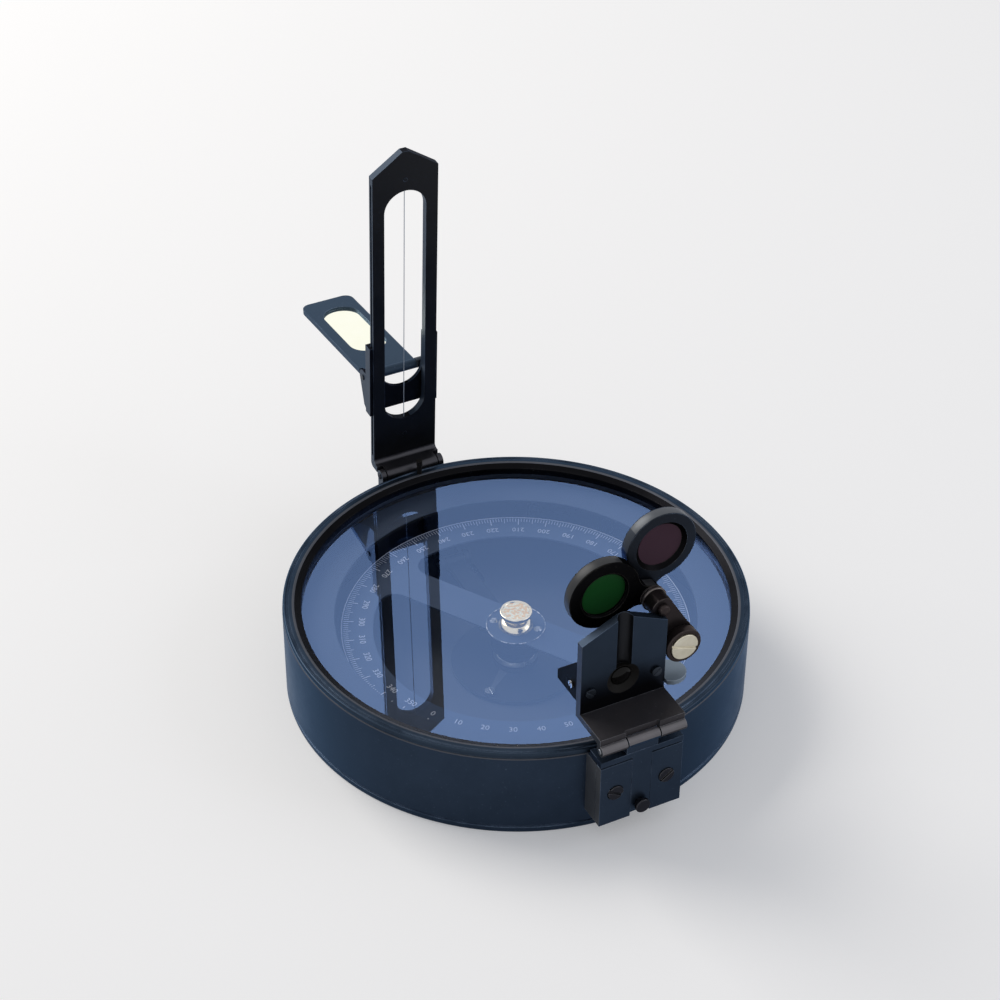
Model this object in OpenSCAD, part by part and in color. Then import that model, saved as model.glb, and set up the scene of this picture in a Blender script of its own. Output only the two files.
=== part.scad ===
// Prismatic surveying compass. Millimetres, +Z up, +Y along the line of sight
// from the prism to the sight vane. The origin is the centre of the base,
// at the mouth of the tripod socket.

/* [Case] */
// Outer diameter of the case
case_d = 110; // [104:1:122]
// Height from the base to the top of the bezel
case_h = 23.5; // [22:0.5:27]
// Thickness of the case wall
wall_t = 3.2; // [2.8:0.1:3.8]
// Thickness of the case floor
floor_t = 1.8; // [1.4:0.1:2.4]
// Depth of the recess under the case
base_recess = 0.6; // [0.3:0.1:1.2]
// Height of the bezel above the wall
bezel_h = 1.2; // [0.9:0.1:1.6]
// How far the bezel reaches over the glass
bezel_lip = 0.8; // [0.5:0.1:1.6]

/* [Glass] */
// Thickness of the glass
glass_t = 2; // [1.5:0.1:2.6]
// Depth of the glass below the top of the bezel
glass_drop = 2.35; // [2:0.05:3]
// Inner diameter of the shelf under the glass
shelf_d = 85.8; // [85.2:0.2:92]
// Thickness of the gasket under the glass
gasket_t = 0.5; // [0.3:0.1:0.9]

/* [Card] */
// Outer diameter of the graduated ring
card_d = 83; // [76:0.5:88]
// Width of the graduated ring
card_w = 7.6; // [6:0.1:10]
// Thickness of the card
card_t = 0.5; // [0.4:0.1:0.8]
// Depth of the card's upper face below the glass
card_drop = 4.95; // [4.9:0.05:5.6]
// Direction of the card's north, in degrees from the line of sight
card_turn = -148; // [-180:1:180]
// Width of the cross bar
bar_w = 9.6; // [8:0.1:12]
// Diameter of the hub on the card
hub_d = 14; // [12:0.5:18]
// Diameter of the cap's upper disc
cap_d = 7.8; // [7:0.1:9]
// Height of the cap above the card
cap_h = 4.4; // [3.8:0.1:4.6]

/* [Pivot and tripod socket] */
// Diameter of the boss in the middle of the floor
boss_d = 10.6; // [10:0.2:12]
// Height of the boss's top above the base
boss_h = 6.2; // [5.6:0.1:6.8]
// Diameter of the tripod thread's bore
socket_d = 7.9; // [6:0.1:8.4]
// Depth of the tripod thread
socket_depth = 4.6; // [3:0.1:5]
// Diameter of the bush's flange
flange_d = 31; // [26:0.5:36]
// Diameter of the pivot pin
pin_d = 1.2; // [0.8:0.1:1.6]

/* [Sight vane] */
// Offset of the vane from the middle of the case
vane_x = -0.5; // [-1:0.1:1]
// Width of the vane
vane_w = 16.9; // [15:0.1:20]
// Thickness of the vane
vane_t = 1.8; // [1.4:0.1:2.2]
// Length of the vane from its hinge to its point
vane_l = 90.8; // [80:0.2:99]
// Height of the gable at the top of the vane
gable_h = 5.4; // [4:0.2:9]
// Width of the flat at the point
gable_flat = 1.6; // [1:0.2:6]
// Width of the sighting slot
slot_w = 10.8; // [8:0.1:12]
// Distance from the vane's point down to the slot
slot_drop = 10.6; // [9:0.2:20]
// Distance from the hinge up to the slot
slot_up = 13.4; // [12:0.2:21]
// Lean of the vane towards the prism, in degrees
vane_lean = 2.7; // [0:0.1:4]
// Diameter of the hair line
hair_d = 0.2; // [0.15:0.05:0.4]

/* [Vane hinge] */
// Radius of the hinge barrel
barrel_r = 1.6; // [1.4:0.1:1.8]
// Diameter of the hinge pin
hinge_pin_d = 1.5; // [1.2:0.1:1.8]
// Step from the hinge to the vane's front face
vane_crank = 3.6; // [3.2:0.1:5]
// Width of the vane's own knuckle
vane_knuckle_w = 13.8; // [8:0.2:14]

/* [Mirror] */
// Height of the slider's lower edge above the hinge
slider_up = 16.6; // [14:0.2:26]
// Length of the slider
slider_l = 20.4; // [17:0.2:24]
// Thickness of the slider's plate and sides
slider_t = 0.9; // [0.7:0.1:1.2]
// Length of the mirror frame
mirror_l = 40; // [30:0.2:41]
// Width of the mirror frame
mirror_w = 13.9; // [13:0.1:16.4]
// Thickness of the mirror frame
mirror_t = 1.4; // [1.2:0.1:1.8]
// Fall of the mirror from the level, in degrees
mirror_fall = 5.5; // [0:0.5:12]
// Width of the frame to the left of the mirror's window
mirror_stile = 2.7; // [2.2:0.05:4]
// Width of the frame to the right of the mirror's window
mirror_right_stile = 1.7; // [1.5:0.05:4]
// Width of the frame beyond the mirror's window
mirror_rail = 5.2; // [3:0.1:6]

/* [Focusing block] */
// Width of the block on the front of the case
block_w = 20.6; // [19:0.2:24]
// Distance from the wall to the block's front face
block_out = 5.6; // [5:0.1:7]
// Height of the block's lower edge above the base
block_z = 5.5; // [3:0.1:7]
// Thickness of the cheeks
cheek_t = 2.2; // [1.8:0.1:2.4]
// Width of the focusing slide's stem
stem_w = 4.8; // [4:0.1:6]
// Width of the slide's tongue behind the cheeks
tongue_w = 9.6; // [8.4:0.1:10]
// Diameter of the cheek screws' heads
cheek_screw_d = 3.8; // [3:0.1:4.4]
// Diameter of the focusing stud
stud_d = 3.6; // [2.8:0.1:4]

/* [Prism] */
// Width of the leaf and the eye plate
plate_w = 21; // [20:0.2:24]
// Thickness of the eye plate
plate_t = 2; // [1.6:0.1:2.4]
// Thickness of the leaf
leaf_t = 1.7; // [1.4:0.1:2]
// Height of the leaf's upper face above the top of the bezel
leaf_up = 7.5; // [7.2:0.1:9]
// Distance from the block's front face to the eye plate's front face
plate_in = 9.7; // [9.4:0.1:12]
// Height of the eye plate's shoulders above the leaf
shoulder_up = 19.4; // [18:0.2:24]
// Height of the eye plate's point above its shoulders
plate_gable = 4.4; // [2:0.1:6]
// Diameter of the eye hole
eye_d = 5; // [3.6:0.1:5.6]
// Width of the sighting groove
groove_w = 3.8; // [3:0.1:4.4]
// Side of the prism box
box_side = 11.4; // [10.6:0.1:12.4]

/* [Sun glasses] */
// Outer diameter of a filter frame
filter_d = 17.2; // [15:0.2:19]
// Diameter of the filter glass that shows
filter_glass_d = 10.8; // [9:0.2:12]
// Thickness of a filter frame
filter_t = 2.8; // [2.2:0.1:3]
// Distance from the filters' pivot to the green filter's centre
green_arm = 12.4; // [11.2:0.1:13.4]
// Distance from the filters' pivot to the red filter's centre
red_arm = 10.8; // [10.6:0.1:13.4]
// Angle of the green filter's arm
green_angle = 160; // [120:1:164]
// Angle of the red filter's arm
red_angle = 69; // [0:1:160]

/* [Hidden] */
$fn = 96;
eps = 0.01;
// Clearances: beside a part that runs, in a bore that turns, and under a head
gap = 0.3;
run = 0.04;
seat = 0.02;

// Case, from the outside in
case_r = case_d / 2;
bore_r = case_r - wall_t;
wall_top = case_h - bezel_h;
floor_z = base_recess + floor_t;
glass_top = case_h - glass_drop;
glass_z = glass_top - glass_t;
gasket_z = glass_z - gasket_t;
seat_t = 1.4;
seat_r = shelf_d / 2;
glass_r = bore_r - 0.2;
window_r = glass_r - bezel_lip;
rim_flat = 2.4;
card_r = card_d / 2;
magnet_t = 1;
card_z = glass_z - card_drop;
card_under = card_z - card_t;
card_rivet_r = cap_d / 2 + 1.55;
card_rivet_turn = 15;
rivet_d = 1.2;
bush_screw_r = flange_d / 2 - 1.9;
bush_screw_angles = [216.5, 336.5, 96.5];
flange_t = 1;
post_top = boss_h + 2.3;
pivot_tip = card_z + 2.2;

// Vane, built upright on its hinge and then leaned
hinge_y = case_r + 0.8 + barrel_r;
hinge_z = case_h + 0.7 - barrel_r;
vane_top = hinge_z + vane_l;
slot_top = vane_top - slot_drop;
slot_bottom = hinge_z + slot_up;
vane_y = hinge_y + vane_crank;
vane_back = vane_y + vane_t;
foot_top = hinge_z + barrel_r;
hair_low = slot_bottom - 4.8;
hair_y = vane_y + 0.6;
hair_high = slot_top + 3;
bracket_y = case_r + 3.6;
bracket_z = 10;

// Mirror slider, in the upright vane's frame
slider_z = hinge_z + slider_up;
lug_r = 2;
mirror_pin_d = 1.4;
slider_back = vane_back + run + slider_t;
mirror_y = slider_back + 1.55;
mirror_z = slider_z + 9.4;
mirror_left = -vane_w / 2 - 0.75;
slider_spring_t = 0.4;
lug_t = 0.9;
mirror_far = mirror_y + mirror_l;
mirror_bottom = mirror_z - 0.2;
mirror_neck = 9.4;
mirror_window_y = mirror_y + mirror_neck;
mirror_window_w = mirror_w - mirror_stile - mirror_right_stile;
mirror_mid = mirror_left + mirror_stile + mirror_window_w / 2;
mirror_window_l = mirror_l - mirror_neck - mirror_rail;
rib_d = 0.5;

// Focusing block and slide, from the front face inwards
front_y = -(case_r + block_out);
cheek_y = front_y + cheek_t;
tongue_t = 1.2;
spring_t = 0.25;
spring_y = cheek_y + tongue_t + 2 * run;
block_top = wall_top + 0.4;
slide_gap = 0.4;
bar_z = block_top + slide_gap;
tee_back = -(case_r + 0.6);
stud_z = block_z + 3.3;
cheek_screw_x = block_w / 2 - 3.9;
cheek_screw_z = block_z + 8.9;
prism_barrel_r = 1.3;
prism_pin_d = 1.2;
leaf_z = case_h + leaf_up;
prism_hinge_y = front_y + 0.4;
prism_hinge_z = leaf_z - leaf_t - prism_barrel_r - run;
middle_w = 7.8;
bar_top = prism_hinge_z - (leaf_z - prism_hinge_z) - gap;

// Eye plate and prism box
plate_y = front_y + plate_in;
plate_back = plate_y + plate_t;
shoulder_z = leaf_z + shoulder_up;
box_z = leaf_z + 2.4;
box_w = plate_w - 0.2;
box_wall = 0.9;
box_cheek = 3.2;
box_heel = 2.6;
box_screw_d = 2.4;
side_screw_d = 1.8;
side_screw_y = plate_back + 2.2;
side_screw_z = box_z + 3.4;
eye_z = leaf_z + 6.6;
groove_z = leaf_z + 9.6;
box_screw_x = plate_w / 2 - 2.3;
box_screw_z = leaf_z + 5.7;
tab_r = 3.6;
tab_t = 1.2;

// Sun glasses, on one pivot behind the eye plate
bracket_t = 1.2;
pivot_x = plate_w / 2 - 0.2;
pivot_z = shoulder_z + 1.5;
bush_r = 4.3;
bush_head_d = 6.5;
bracket_screw_x = [plate_w / 2 - 3.6, plate_w / 2 - 1.3];
bracket_screw_z = shoulder_z - 3.2;
bush_x = plate_w / 2 + bush_r + 0.1;
bush_z = leaf_z + 10.3;
pivot_d = 2.4;
hub_r = 2.7;
boss_y = plate_back + bracket_t;
green_y = plate_back + 5;
red_y = green_y + filter_t + gap;
cap_y = red_y + filter_t + gap;

// Lifting work: a pin in the rim, and a lever to the middle
lift_y = case_r - 1.8;
lift_pin_d = 1.2;
lever_reach = 19.2;
lever_y = lift_y - lever_reach;
lever_foot = 8;
lever_spring_l = 13;
lever_z = 9.2;
lever_t = 1.2;
lever_w = 5;
lift_head_z = case_h + 2.5;
lift_head_h = 1.4;

// Brake, in a frame turned so that its button points along +Y
brake_angle = -32;
brake_z = 11;
button_r = 1.5;
brake_travel = 1.2;
leaf_y = (card_r + bore_r) / 2 - 1.05;
leaf_h = 4.5;
leaf_low = brake_z - 2.5;
pad_w = 3.5;
pad_gap = brake_travel + 0.15;
brake_bore = 0.8;
brake_eye_r = 1.5;
brake_rim = 2.17;
brake_pivot_x = sqrt(pow(bore_r - brake_rim, 2) - pow(leaf_y + 0.25, 2));

module at(v) { translate(v) children(); }
// A cylinder along X from x0 to x1, or along Y from y0 to y1
module rod_x(r, x0, x1) { translate([x0, 0, 0]) rotate([0, 90, 0]) cylinder(r = r, h = x1 - x0); }
module rod_y(r, y0, y1) { translate([0, y0, 0]) rotate([-90, 0, 0]) cylinder(r = r, h = y1 - y0); }
// A box given by its two corners
module block(a, b) { translate(a) cube(b - a); }
// A plate drawn as an outline in X and Z, from y0 to y1
module plate_xz(y0, y1) { translate([0, y1, 0]) rotate([90, 0, 0]) linear_extrude(y1 - y0) children(); }
// A plate drawn as an outline in Y and Z, from x0 to x1
module plate_yz(x0, x1) {
    translate([x0, 0, 0]) rotate([90, 0, 90]) linear_extrude(x1 - x0) children();
}
// A bar with round ends between heights z0 and z1
module obround(w, z0, z1) {
    translate([0, z0 + w / 2]) circle(d = w);
    translate([0, z1 - w / 2]) circle(d = w);
    translate([-w / 2, z0 + w / 2]) square([w, z1 - z0 - w]);
}
module ring(r_out, r_in, z0, z1) {
    translate([0, 0, z0]) difference() {
        cylinder(r = r_out, h = z1 - z0);
        translate([0, 0, -1]) cylinder(r = r_in, h = z1 - z0 + 2);
    }
}
// A slotted screw, its head's top at z = 0 and its shank downwards
module slotted_screw(head_d, head_h, shank_d, shank_l, slot_w = 0.5) {
    difference() {
        translate([0, 0, -head_h]) cylinder(d = head_d, h = head_h);
        block([-head_d, -slot_w / 2, -0.35 * head_h], [head_d, slot_w / 2, 1]);
    }
    translate([0, 0, -head_h - shank_l]) cylinder(d = shank_d, h = shank_l + eps);
}
module on_vane() {
    translate([vane_x, hinge_y, hinge_z]) rotate([vane_lean, 0, 0])
        translate([0, -hinge_y, -hinge_z]) children();
}
module on_mirror() {
    translate([0, mirror_y, mirror_z]) rotate([-mirror_fall - vane_lean, 0, 0])
        translate([0, -mirror_y, -mirror_z]) children();
}
module on_arm(angle) {
    translate([pivot_x, 0, pivot_z]) rotate([0, -angle, 0]) children();
}
module on_brake() { rotate([0, 0, brake_angle]) children(); }

// Case and cover
module case_body() {
    color("#1f2937") difference() {
        rotate_extrude($fn = 180) polygon([[0, base_recess], [case_r - 5, base_recess], [case_r - 5, 0],
            [case_r - 0.5, 0], [case_r, 0.5], [case_r, 1.5], [case_r - 0.25, 1.65],
            [case_r - 0.25, 1.95], [case_r, 2.1], [case_r, wall_top], [bore_r, wall_top],
            [bore_r, gasket_z], [seat_r, gasket_z], [seat_r, gasket_z - seat_t + 0.4],
            [bore_r - 1, gasket_z - seat_t], [bore_r, gasket_z - seat_t - 1], [bore_r, floor_z],
            [0, floor_z]]);
        at([0, 0, -1]) cylinder(d = boss_d + 2 * seat, h = floor_z + 2);
        for (a = bush_screw_angles) rotate([0, 0, a])
            at([bush_screw_r, 0, base_recess - 1]) cylinder(r = 0.8, h = floor_t + 2);
        at([0, lift_y, lever_z]) cylinder(d = lift_pin_d + 2 * run, h = case_h, $fn = 32);
        block([-lever_w / 2 + 1, bore_r - 1, lever_z - 2.6], [lever_w / 2 - 1, lift_y + 1.1, lever_z + 5]);
        on_brake() at([0, 0, brake_z]) rod_y(button_r + run, bore_r - 2, case_r + 2, $fn = 48);
        for (s = [-1, 1]) at([vane_x + s * 5, 0, bracket_z + 4]) rod_y(0.9 + seat, case_r - 2.2, case_r + 1);
    }
}
module tripod_bush() {
    color("#8a6f3c") difference() {
        union() {
            cylinder(d = boss_d, h = boss_h - 1);
            at([0, 0, boss_h - 1]) cylinder(d1 = boss_d, d2 = boss_d - 1.2, h = 1);
            at([0, 0, floor_z]) cylinder(d = flange_d, h = flange_t);
        }
        at([0, 0, -1]) cylinder(d = socket_d, h = socket_depth + 1);
        at([0, 0, boss_h - 1]) cylinder(r = 1.5, h = 2);
        for (a = bush_screw_angles) rotate([0, 0, a])
            at([bush_screw_r, 0, floor_z - 1]) cylinder(r = 0.8 + seat, h = flange_t + 2);
    }
}
module bush_screws() {
    color("#b9b4a8") for (a = bush_screw_angles) rotate([0, 0, a])
        at([bush_screw_r, 0, floor_z + flange_t + 0.8]) rotate([0, 0, 50])
            slotted_screw(2.4, 0.8, 1.6 - 2 * seat, flange_t + floor_t - 0.2);
}
module glass_gasket() { color("#2b2b2b") ring(glass_r, window_r + 0.1, gasket_z, glass_z, $fn = 180); }
module glass() { color("#8fb4d8", 0.35) at([0, 0, glass_z]) cylinder(r = glass_r, h = glass_t, $fn = 180); }
module bezel() {
    color("#161a22") difference() {
        rotate_extrude($fn = 180) polygon([[window_r, glass_top], [glass_r - 0.05, glass_top],
            [glass_r - 0.05, wall_top], [case_r, wall_top], [case_r, case_h - 0.5],
            [case_r - 0.15, case_h - 0.15], [case_r - 0.5, case_h], [case_r - rim_flat, case_h],
            [case_r - rim_flat - 0.3, case_h - 0.25], [window_r, case_h - 0.9]]);
        at([0, lift_y, lever_z]) cylinder(d = lift_pin_d + 2 * run, h = case_h, $fn = 32);
    }
}
module pivot_post() {
    color("#9c8350") difference() {
        union() {
            at([0, 0, boss_h - 1]) cylinder(r = 1.5 - seat, h = 1 + eps);
            at([0, 0, boss_h]) cylinder(r = 3, h = post_top - boss_h - 1);
            at([0, 0, post_top - 1 - eps]) cylinder(r1 = 3, r2 = 1.6, h = 1);
        }
        at([0, 0, boss_h - 0.2]) cylinder(d = pin_d + 2 * seat, h = post_top);
    }
}
module pivot_pin() {
    color("#c8ccd0") {
        at([0, 0, boss_h - 0.2]) cylinder(d = pin_d, h = pivot_tip - boss_h - 1.8, $fn = 32);
        at([0, 0, pivot_tip - 2 - eps]) cylinder(d1 = pin_d, d2 = 0.16, h = 2, $fn = 32);
    }
}

// Card
module on_card() { rotate([0, 0, card_turn]) children(); }
module on_rivets() {
    for (a = [card_rivet_turn, card_rivet_turn + 180]) rotate([0, 0, a])
        translate([0, card_rivet_r]) children();
}
module card_ring() {
    color("#c9ccd2") on_card() at([0, 0, card_under]) linear_extrude(card_t) difference() {
        union() {
            difference() {
                circle(r = card_r, $fn = 180);
                circle(r = card_r - card_w, $fn = 180);
            }
            square([bar_w, 2 * (card_r - card_w / 2)], center = true);
            circle(d = hub_d);
            for (a = [0, 180]) rotate([0, 0, a]) bar_root();
        }
        circle(r = 2.2 + seat);
        on_rivets() circle(r = rivet_d / 2 + seat);
    }
}
// The bar widens into the ring with a fillet at each side
module bar_root() {
    fillet = 4;
    inner = card_r - card_w;
    reach = sqrt(pow(inner - fillet, 2) - pow(bar_w / 2 + fillet, 2));
    difference() {
        translate([-bar_w / 2 - fillet, reach]) square([bar_w + 2 * fillet, inner - reach]);
        for (s = [-1, 1]) translate([s * (bar_w / 2 + fillet), reach]) circle(r = fillet);
    }
}
module magnetic_needle() {
    color("#2a3140") on_card() difference() {
        at([0, 0, card_under - magnet_t]) linear_extrude(magnet_t) difference() {
            union() {
                square([5.6, 2 * (card_r - card_w) - 6], center = true);
                circle(r = hub_d / 2 - 1);
            }
            circle(r = 3.6);
            on_rivets() circle(r = rivet_d / 2 + seat);
        }
    }
}
module card_rivets() {
    color("#a5865a") on_card() on_rivets() {
        at([0, 0, card_under - magnet_t]) cylinder(d = rivet_d, h = magnet_t + card_t, $fn = 24);
        at([0, 0, card_z]) cylinder(r1 = 1, r2 = rivet_d / 2, h = 0.4, $fn = 24);
    }
}
module cap() {
    r = cap_d / 2;
    top = card_z + cap_h;
    color("#d8b67a") difference() {
        rotate_extrude() polygon([[0, card_under - 0.7], [3.2, card_under - 0.7], [3.2, card_under],
            [2.2, card_under], [2.2, card_z], [r - 0.4, card_z], [r, card_z + 0.4], [r, card_z + 1.1],
            [r - 0.5, card_z + 1.6], [r - 1.4, card_z + 1.9], [r - 1.4, top - 1.3], [r - 0.2, top - 1],
            [r, top - 0.8], [r, top - 0.25], [r - 0.25, top], [r - 0.7, top], [r - 0.9, top - 0.25],
            [0, top - 0.25]]);
        at([0, 0, card_under - 2]) cylinder(r = 1.5, h = pivot_tip + 0.8 - card_under + 2);
    }
}
module cap_jewel() {
    color("#8c4a2a") difference() {
        at([0, 0, pivot_tip - 1.2]) cylinder(r = 1.5 - seat, h = 2);
        at([0, 0, pivot_tip - 1.6]) cylinder(r1 = 1.1, r2 = 0.2, h = 1.6 + 0.12, $fn = 32);
    }
}
module dip_weight() {
    x = bar_w / 2 + 6;
    y = -sqrt(pow(card_r - card_w / 2, 2) - pow(x, 2));
    color("#a5865a") on_card() at([x, y, card_under - 1.2]) cylinder(r = 2, h = 1.2, $fn = 32);
}

// Sight vane and its hinge
module vane_bracket() {
    half = vane_w / 2;
    knuckle_in = vane_knuckle_w / 2 + gap;
    color("#1c1f26") difference() {
        at([vane_x, 0, 0]) union() {
            block([-half, case_r - 2, bracket_z], [half, bracket_y, hinge_z - barrel_r - 1]);
            for (s = [-1, 1]) {
                x0 = s > 0 ? knuckle_in : -half;
                x1 = s > 0 ? half : -knuckle_in;
                block([x0, hinge_y - barrel_r, hinge_z - barrel_r - 2], [x1, bracket_y, hinge_z]);
                at([0, hinge_y, hinge_z]) rod_x(barrel_r, x0, x1);
            }
        }
        at([0, 0, -1]) cylinder(r = case_r, h = hinge_z - barrel_r + 0.5, $fn = 180);
        at([0, 0, wall_top - 1.2]) cylinder(r = case_r + gap, h = 5, $fn = 180);
        at([vane_x, hinge_y, hinge_z]) rod_x(hinge_pin_d / 2 + seat, -half - 1, half + 1);
        at([vane_x, hinge_y, hinge_z]) rod_x(barrel_r + gap, -knuckle_in, knuckle_in);
        for (s = [-1, 1]) at([vane_x + s * 5, 0, bracket_z + 4]) {
            rod_y(0.9 + seat, case_r - 3, bracket_y + 1);
            rod_y(1.8 + seat, bracket_y - 1, bracket_y + 1);
        }
    }
}
module vane_bracket_screws() {
    color("#3a3d44") for (s = [-1, 1]) at([vane_x + s * 5, bracket_y, bracket_z + 4]) rotate([-90, 0, 0])
        rotate([0, 0, 20 * s]) slotted_screw(3.6, 1, 1.8, bracket_y - case_r + 0.8);
}
module vane_hinge_pin() {
    color("#5a5f66") at([vane_x, hinge_y, hinge_z])
        rod_x(hinge_pin_d / 2, -vane_w / 2 - 0.3, vane_w / 2 + 0.3);
}
module vane_outline() {
    half = vane_w / 2;
    shoulder = vane_top - gable_h;
    difference() {
        polygon([[-half, hinge_z], [half, hinge_z], [half, shoulder], [gable_flat / 2, vane_top],
            [-gable_flat / 2, vane_top], [-half, shoulder]]);
        obround(slot_w, slot_bottom, slot_top);
        for (z = [hair_low, hair_high]) translate([0, z]) circle(r = 0.5 + seat, $fn = 24);
    }
}
module sight_vane() {
    half = vane_w / 2;
    knuckle = vane_knuckle_w / 2;
    clear_y = hinge_y + barrel_r + gap;
    color("#15181e") on_vane() difference() {
        union() {
            plate_xz(vane_y, vane_back) vane_outline();
            block([-half, clear_y, hinge_z], [half, vane_y + eps, foot_top]);
            block([-knuckle, hinge_y, hinge_z], [knuckle, clear_y + eps, foot_top]);
            at([0, hinge_y, hinge_z]) rod_x(barrel_r, -knuckle, knuckle);
            at([0, vane_y - 1.1, foot_top]) bend_fillet(half);
        }
        at([0, hinge_y, hinge_z]) rod_x(hinge_pin_d / 2 + run, -half, half);
        at([0, vane_back - 1.2, hinge_z + 1.2]) heel_round(half);
        for (s = [-1, 1]) block([s * half - 0.45, vane_y + 0.5, foot_top + 2],
            [s * half + 0.45, vane_y + 1.3, vane_top - gable_h - 2]);
        at([0, hair_y, hair_low]) cylinder(d = hair_d + 2 * seat, h = hair_high - hair_low, $fn = 16);
    }
}
// The inner bend between the foot and the blade
module bend_fillet(half) {
    plate_yz(-half, half) difference() {
        square([1.1 + eps, 1.1]);
        translate([0, 1.1]) circle(r = 1.1, $fn = 32);
    }
}
// What the outer bend takes off the foot's lower corner
module heel_round(half) {
    plate_yz(-half - 1, half + 1) difference() {
        translate([0, -1.2 - eps]) square([1.2 + 1, 1.2 + eps]);
        circle(r = 1.2, $fn = 48);
    }
}
module hair_line() {
    color("#8d9096") on_vane() at([0, hair_y, hair_low])
        cylinder(d = hair_d, h = hair_high - hair_low, $fn = 16);
}
module hair_pins() {
    color("#7d7560") on_vane() for (z = [hair_low, hair_high]) at([0, 0, z]) difference() {
        rod_y(0.5, vane_y - 0.1, vane_back, $fn = 24);
        at([0, hair_y, z == hair_low ? -0.1 : -1.9])
            cylinder(d = hair_d + 2 * seat, h = 2, $fn = 16);
    }
}

// Mirror slider and mirror
module mirror_slider() {
    half = vane_w / 2;
    z1 = slider_z + slider_l;
    window_r = slot_w / 2 + 0.2;
    color("#222a38") on_vane() difference() {
        union() {
            plate_xz(vane_back + run, slider_back) difference() {
                translate([-half - slider_t, slider_z])
                    square([vane_w + slider_t + slider_spring_t, slider_l]);
                obround(2 * window_r, slider_z + 5.8, z1 + 4 * window_r);
            }
            side_plate(-half - slider_t, -half - run);
            side_wall(half + run, half + slider_spring_t);
            lug_plate(half + slider_spring_t - lug_t, half + slider_spring_t);
            for (s = [-1, 1]) {
                block([s > 0 ? half - rib_d + 0.15 : -half - 2 * run, vane_y + 0.5 + run, slider_z],
                    [s > 0 ? half + 2 * run : -half + rib_d - 0.15, vane_y + 1.3 - run, z1]);
            }
        }
        at([0, mirror_y, mirror_z]) rod_x(mirror_pin_d / 2 + seat, -half - 2, half + 2);
    }
}
// A side of the slider, with the lug that carries the mirror's pin
module side_plate(x0, x1) {
    side_wall(x0, x1);
    lug_plate(x0, x1);
}
module side_wall(x0, x1) {
    plate_yz(x0, x1) translate([vane_y + 0.2, slider_z]) square([slider_back - vane_y - 0.2, slider_l]);
}
module lug_plate(x0, x1) {
    plate_yz(x0, x1) union() {
        polygon([[slider_back - slider_t, slider_z + 0.2], [mirror_y - 0.6, slider_z + 1.6],
            [mirror_y + lug_r * 0.85, mirror_z - lug_r * 0.55], [mirror_y, mirror_z],
            [mirror_y, mirror_z + lug_r], [slider_back - slider_t, mirror_z + lug_r]]);
        translate([mirror_y, mirror_z]) circle(r = lug_r, $fn = 48);
    }
}
module mirror_hinge_pin() {
    reach = vane_w / 2 + slider_t + 0.3;
    color("#5a5f66") on_vane() at([0, mirror_y, mirror_z]) rod_x(mirror_pin_d / 2, -reach, reach);
}
module mirror_spacer() {
    color("#6d6a60") on_vane() at([0, mirror_y, mirror_z]) difference() {
        rod_x(1.3, mirror_left + mirror_w + 0.2, vane_w / 2 + slider_spring_t - lug_t - 0.2);
        rod_x(mirror_pin_d / 2 + seat, 0, vane_w);
    }
}
module mirror_frame() {
    notch = lug_r + 0.4;
    neck_x = -vane_w / 2 + 0.25;
    corner = 2.4;
    color("#3e5069") on_vane() on_mirror() difference() {
        union() {
            at([0, 0, mirror_bottom]) linear_extrude(mirror_t) {
                for (x = [mirror_left + corner, mirror_left + mirror_w - corner])
                    translate([x, mirror_far - corner]) circle(r = corner, $fn = 48);
                translate([mirror_left + corner, mirror_far - corner - 1])
                    square([mirror_w - 2 * corner, corner + 1]);
                translate([mirror_left, mirror_y + notch])
                    square([mirror_w, mirror_l - notch - corner]);
                translate([neck_x, mirror_y]) square([mirror_left + mirror_w - neck_x, notch + eps]);
            }
            at([0, mirror_y, mirror_z]) rod_x(1.25, neck_x, mirror_left + mirror_w);
        }
        at([0, mirror_y, mirror_z]) rod_x(mirror_pin_d / 2 + run, -vane_w, vane_w);
        mirror_pocket(mirror_window_w, mirror_window_l, mirror_t + 2);
        at([0, 0, -eps]) mirror_pocket(mirror_window_w + 2.4, mirror_window_l + 2.4, 0.8 + eps);
    }
}
// A round-ended pocket in the mirror frame, from its lower face up
module mirror_pocket(w, l, h) {
    mid_y = mirror_window_y + mirror_window_l / 2;
    translate([mirror_mid, 0, mirror_bottom]) linear_extrude(h) translate([0, mid_y])
        obround(w, -l / 2, l / 2);
}
module mirror_glass() {
    color("#f4f6ea") on_vane() on_mirror() at([0, 0, 0.25])
        mirror_pocket(mirror_window_w + 2.2, mirror_window_l + 2.2, 0.55 - seat);
}
module mirror_back() {
    color("#2a3140") on_vane() on_mirror()
        mirror_pocket(mirror_window_w + 2.2, mirror_window_l + 2.2, 0.25);
}

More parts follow.
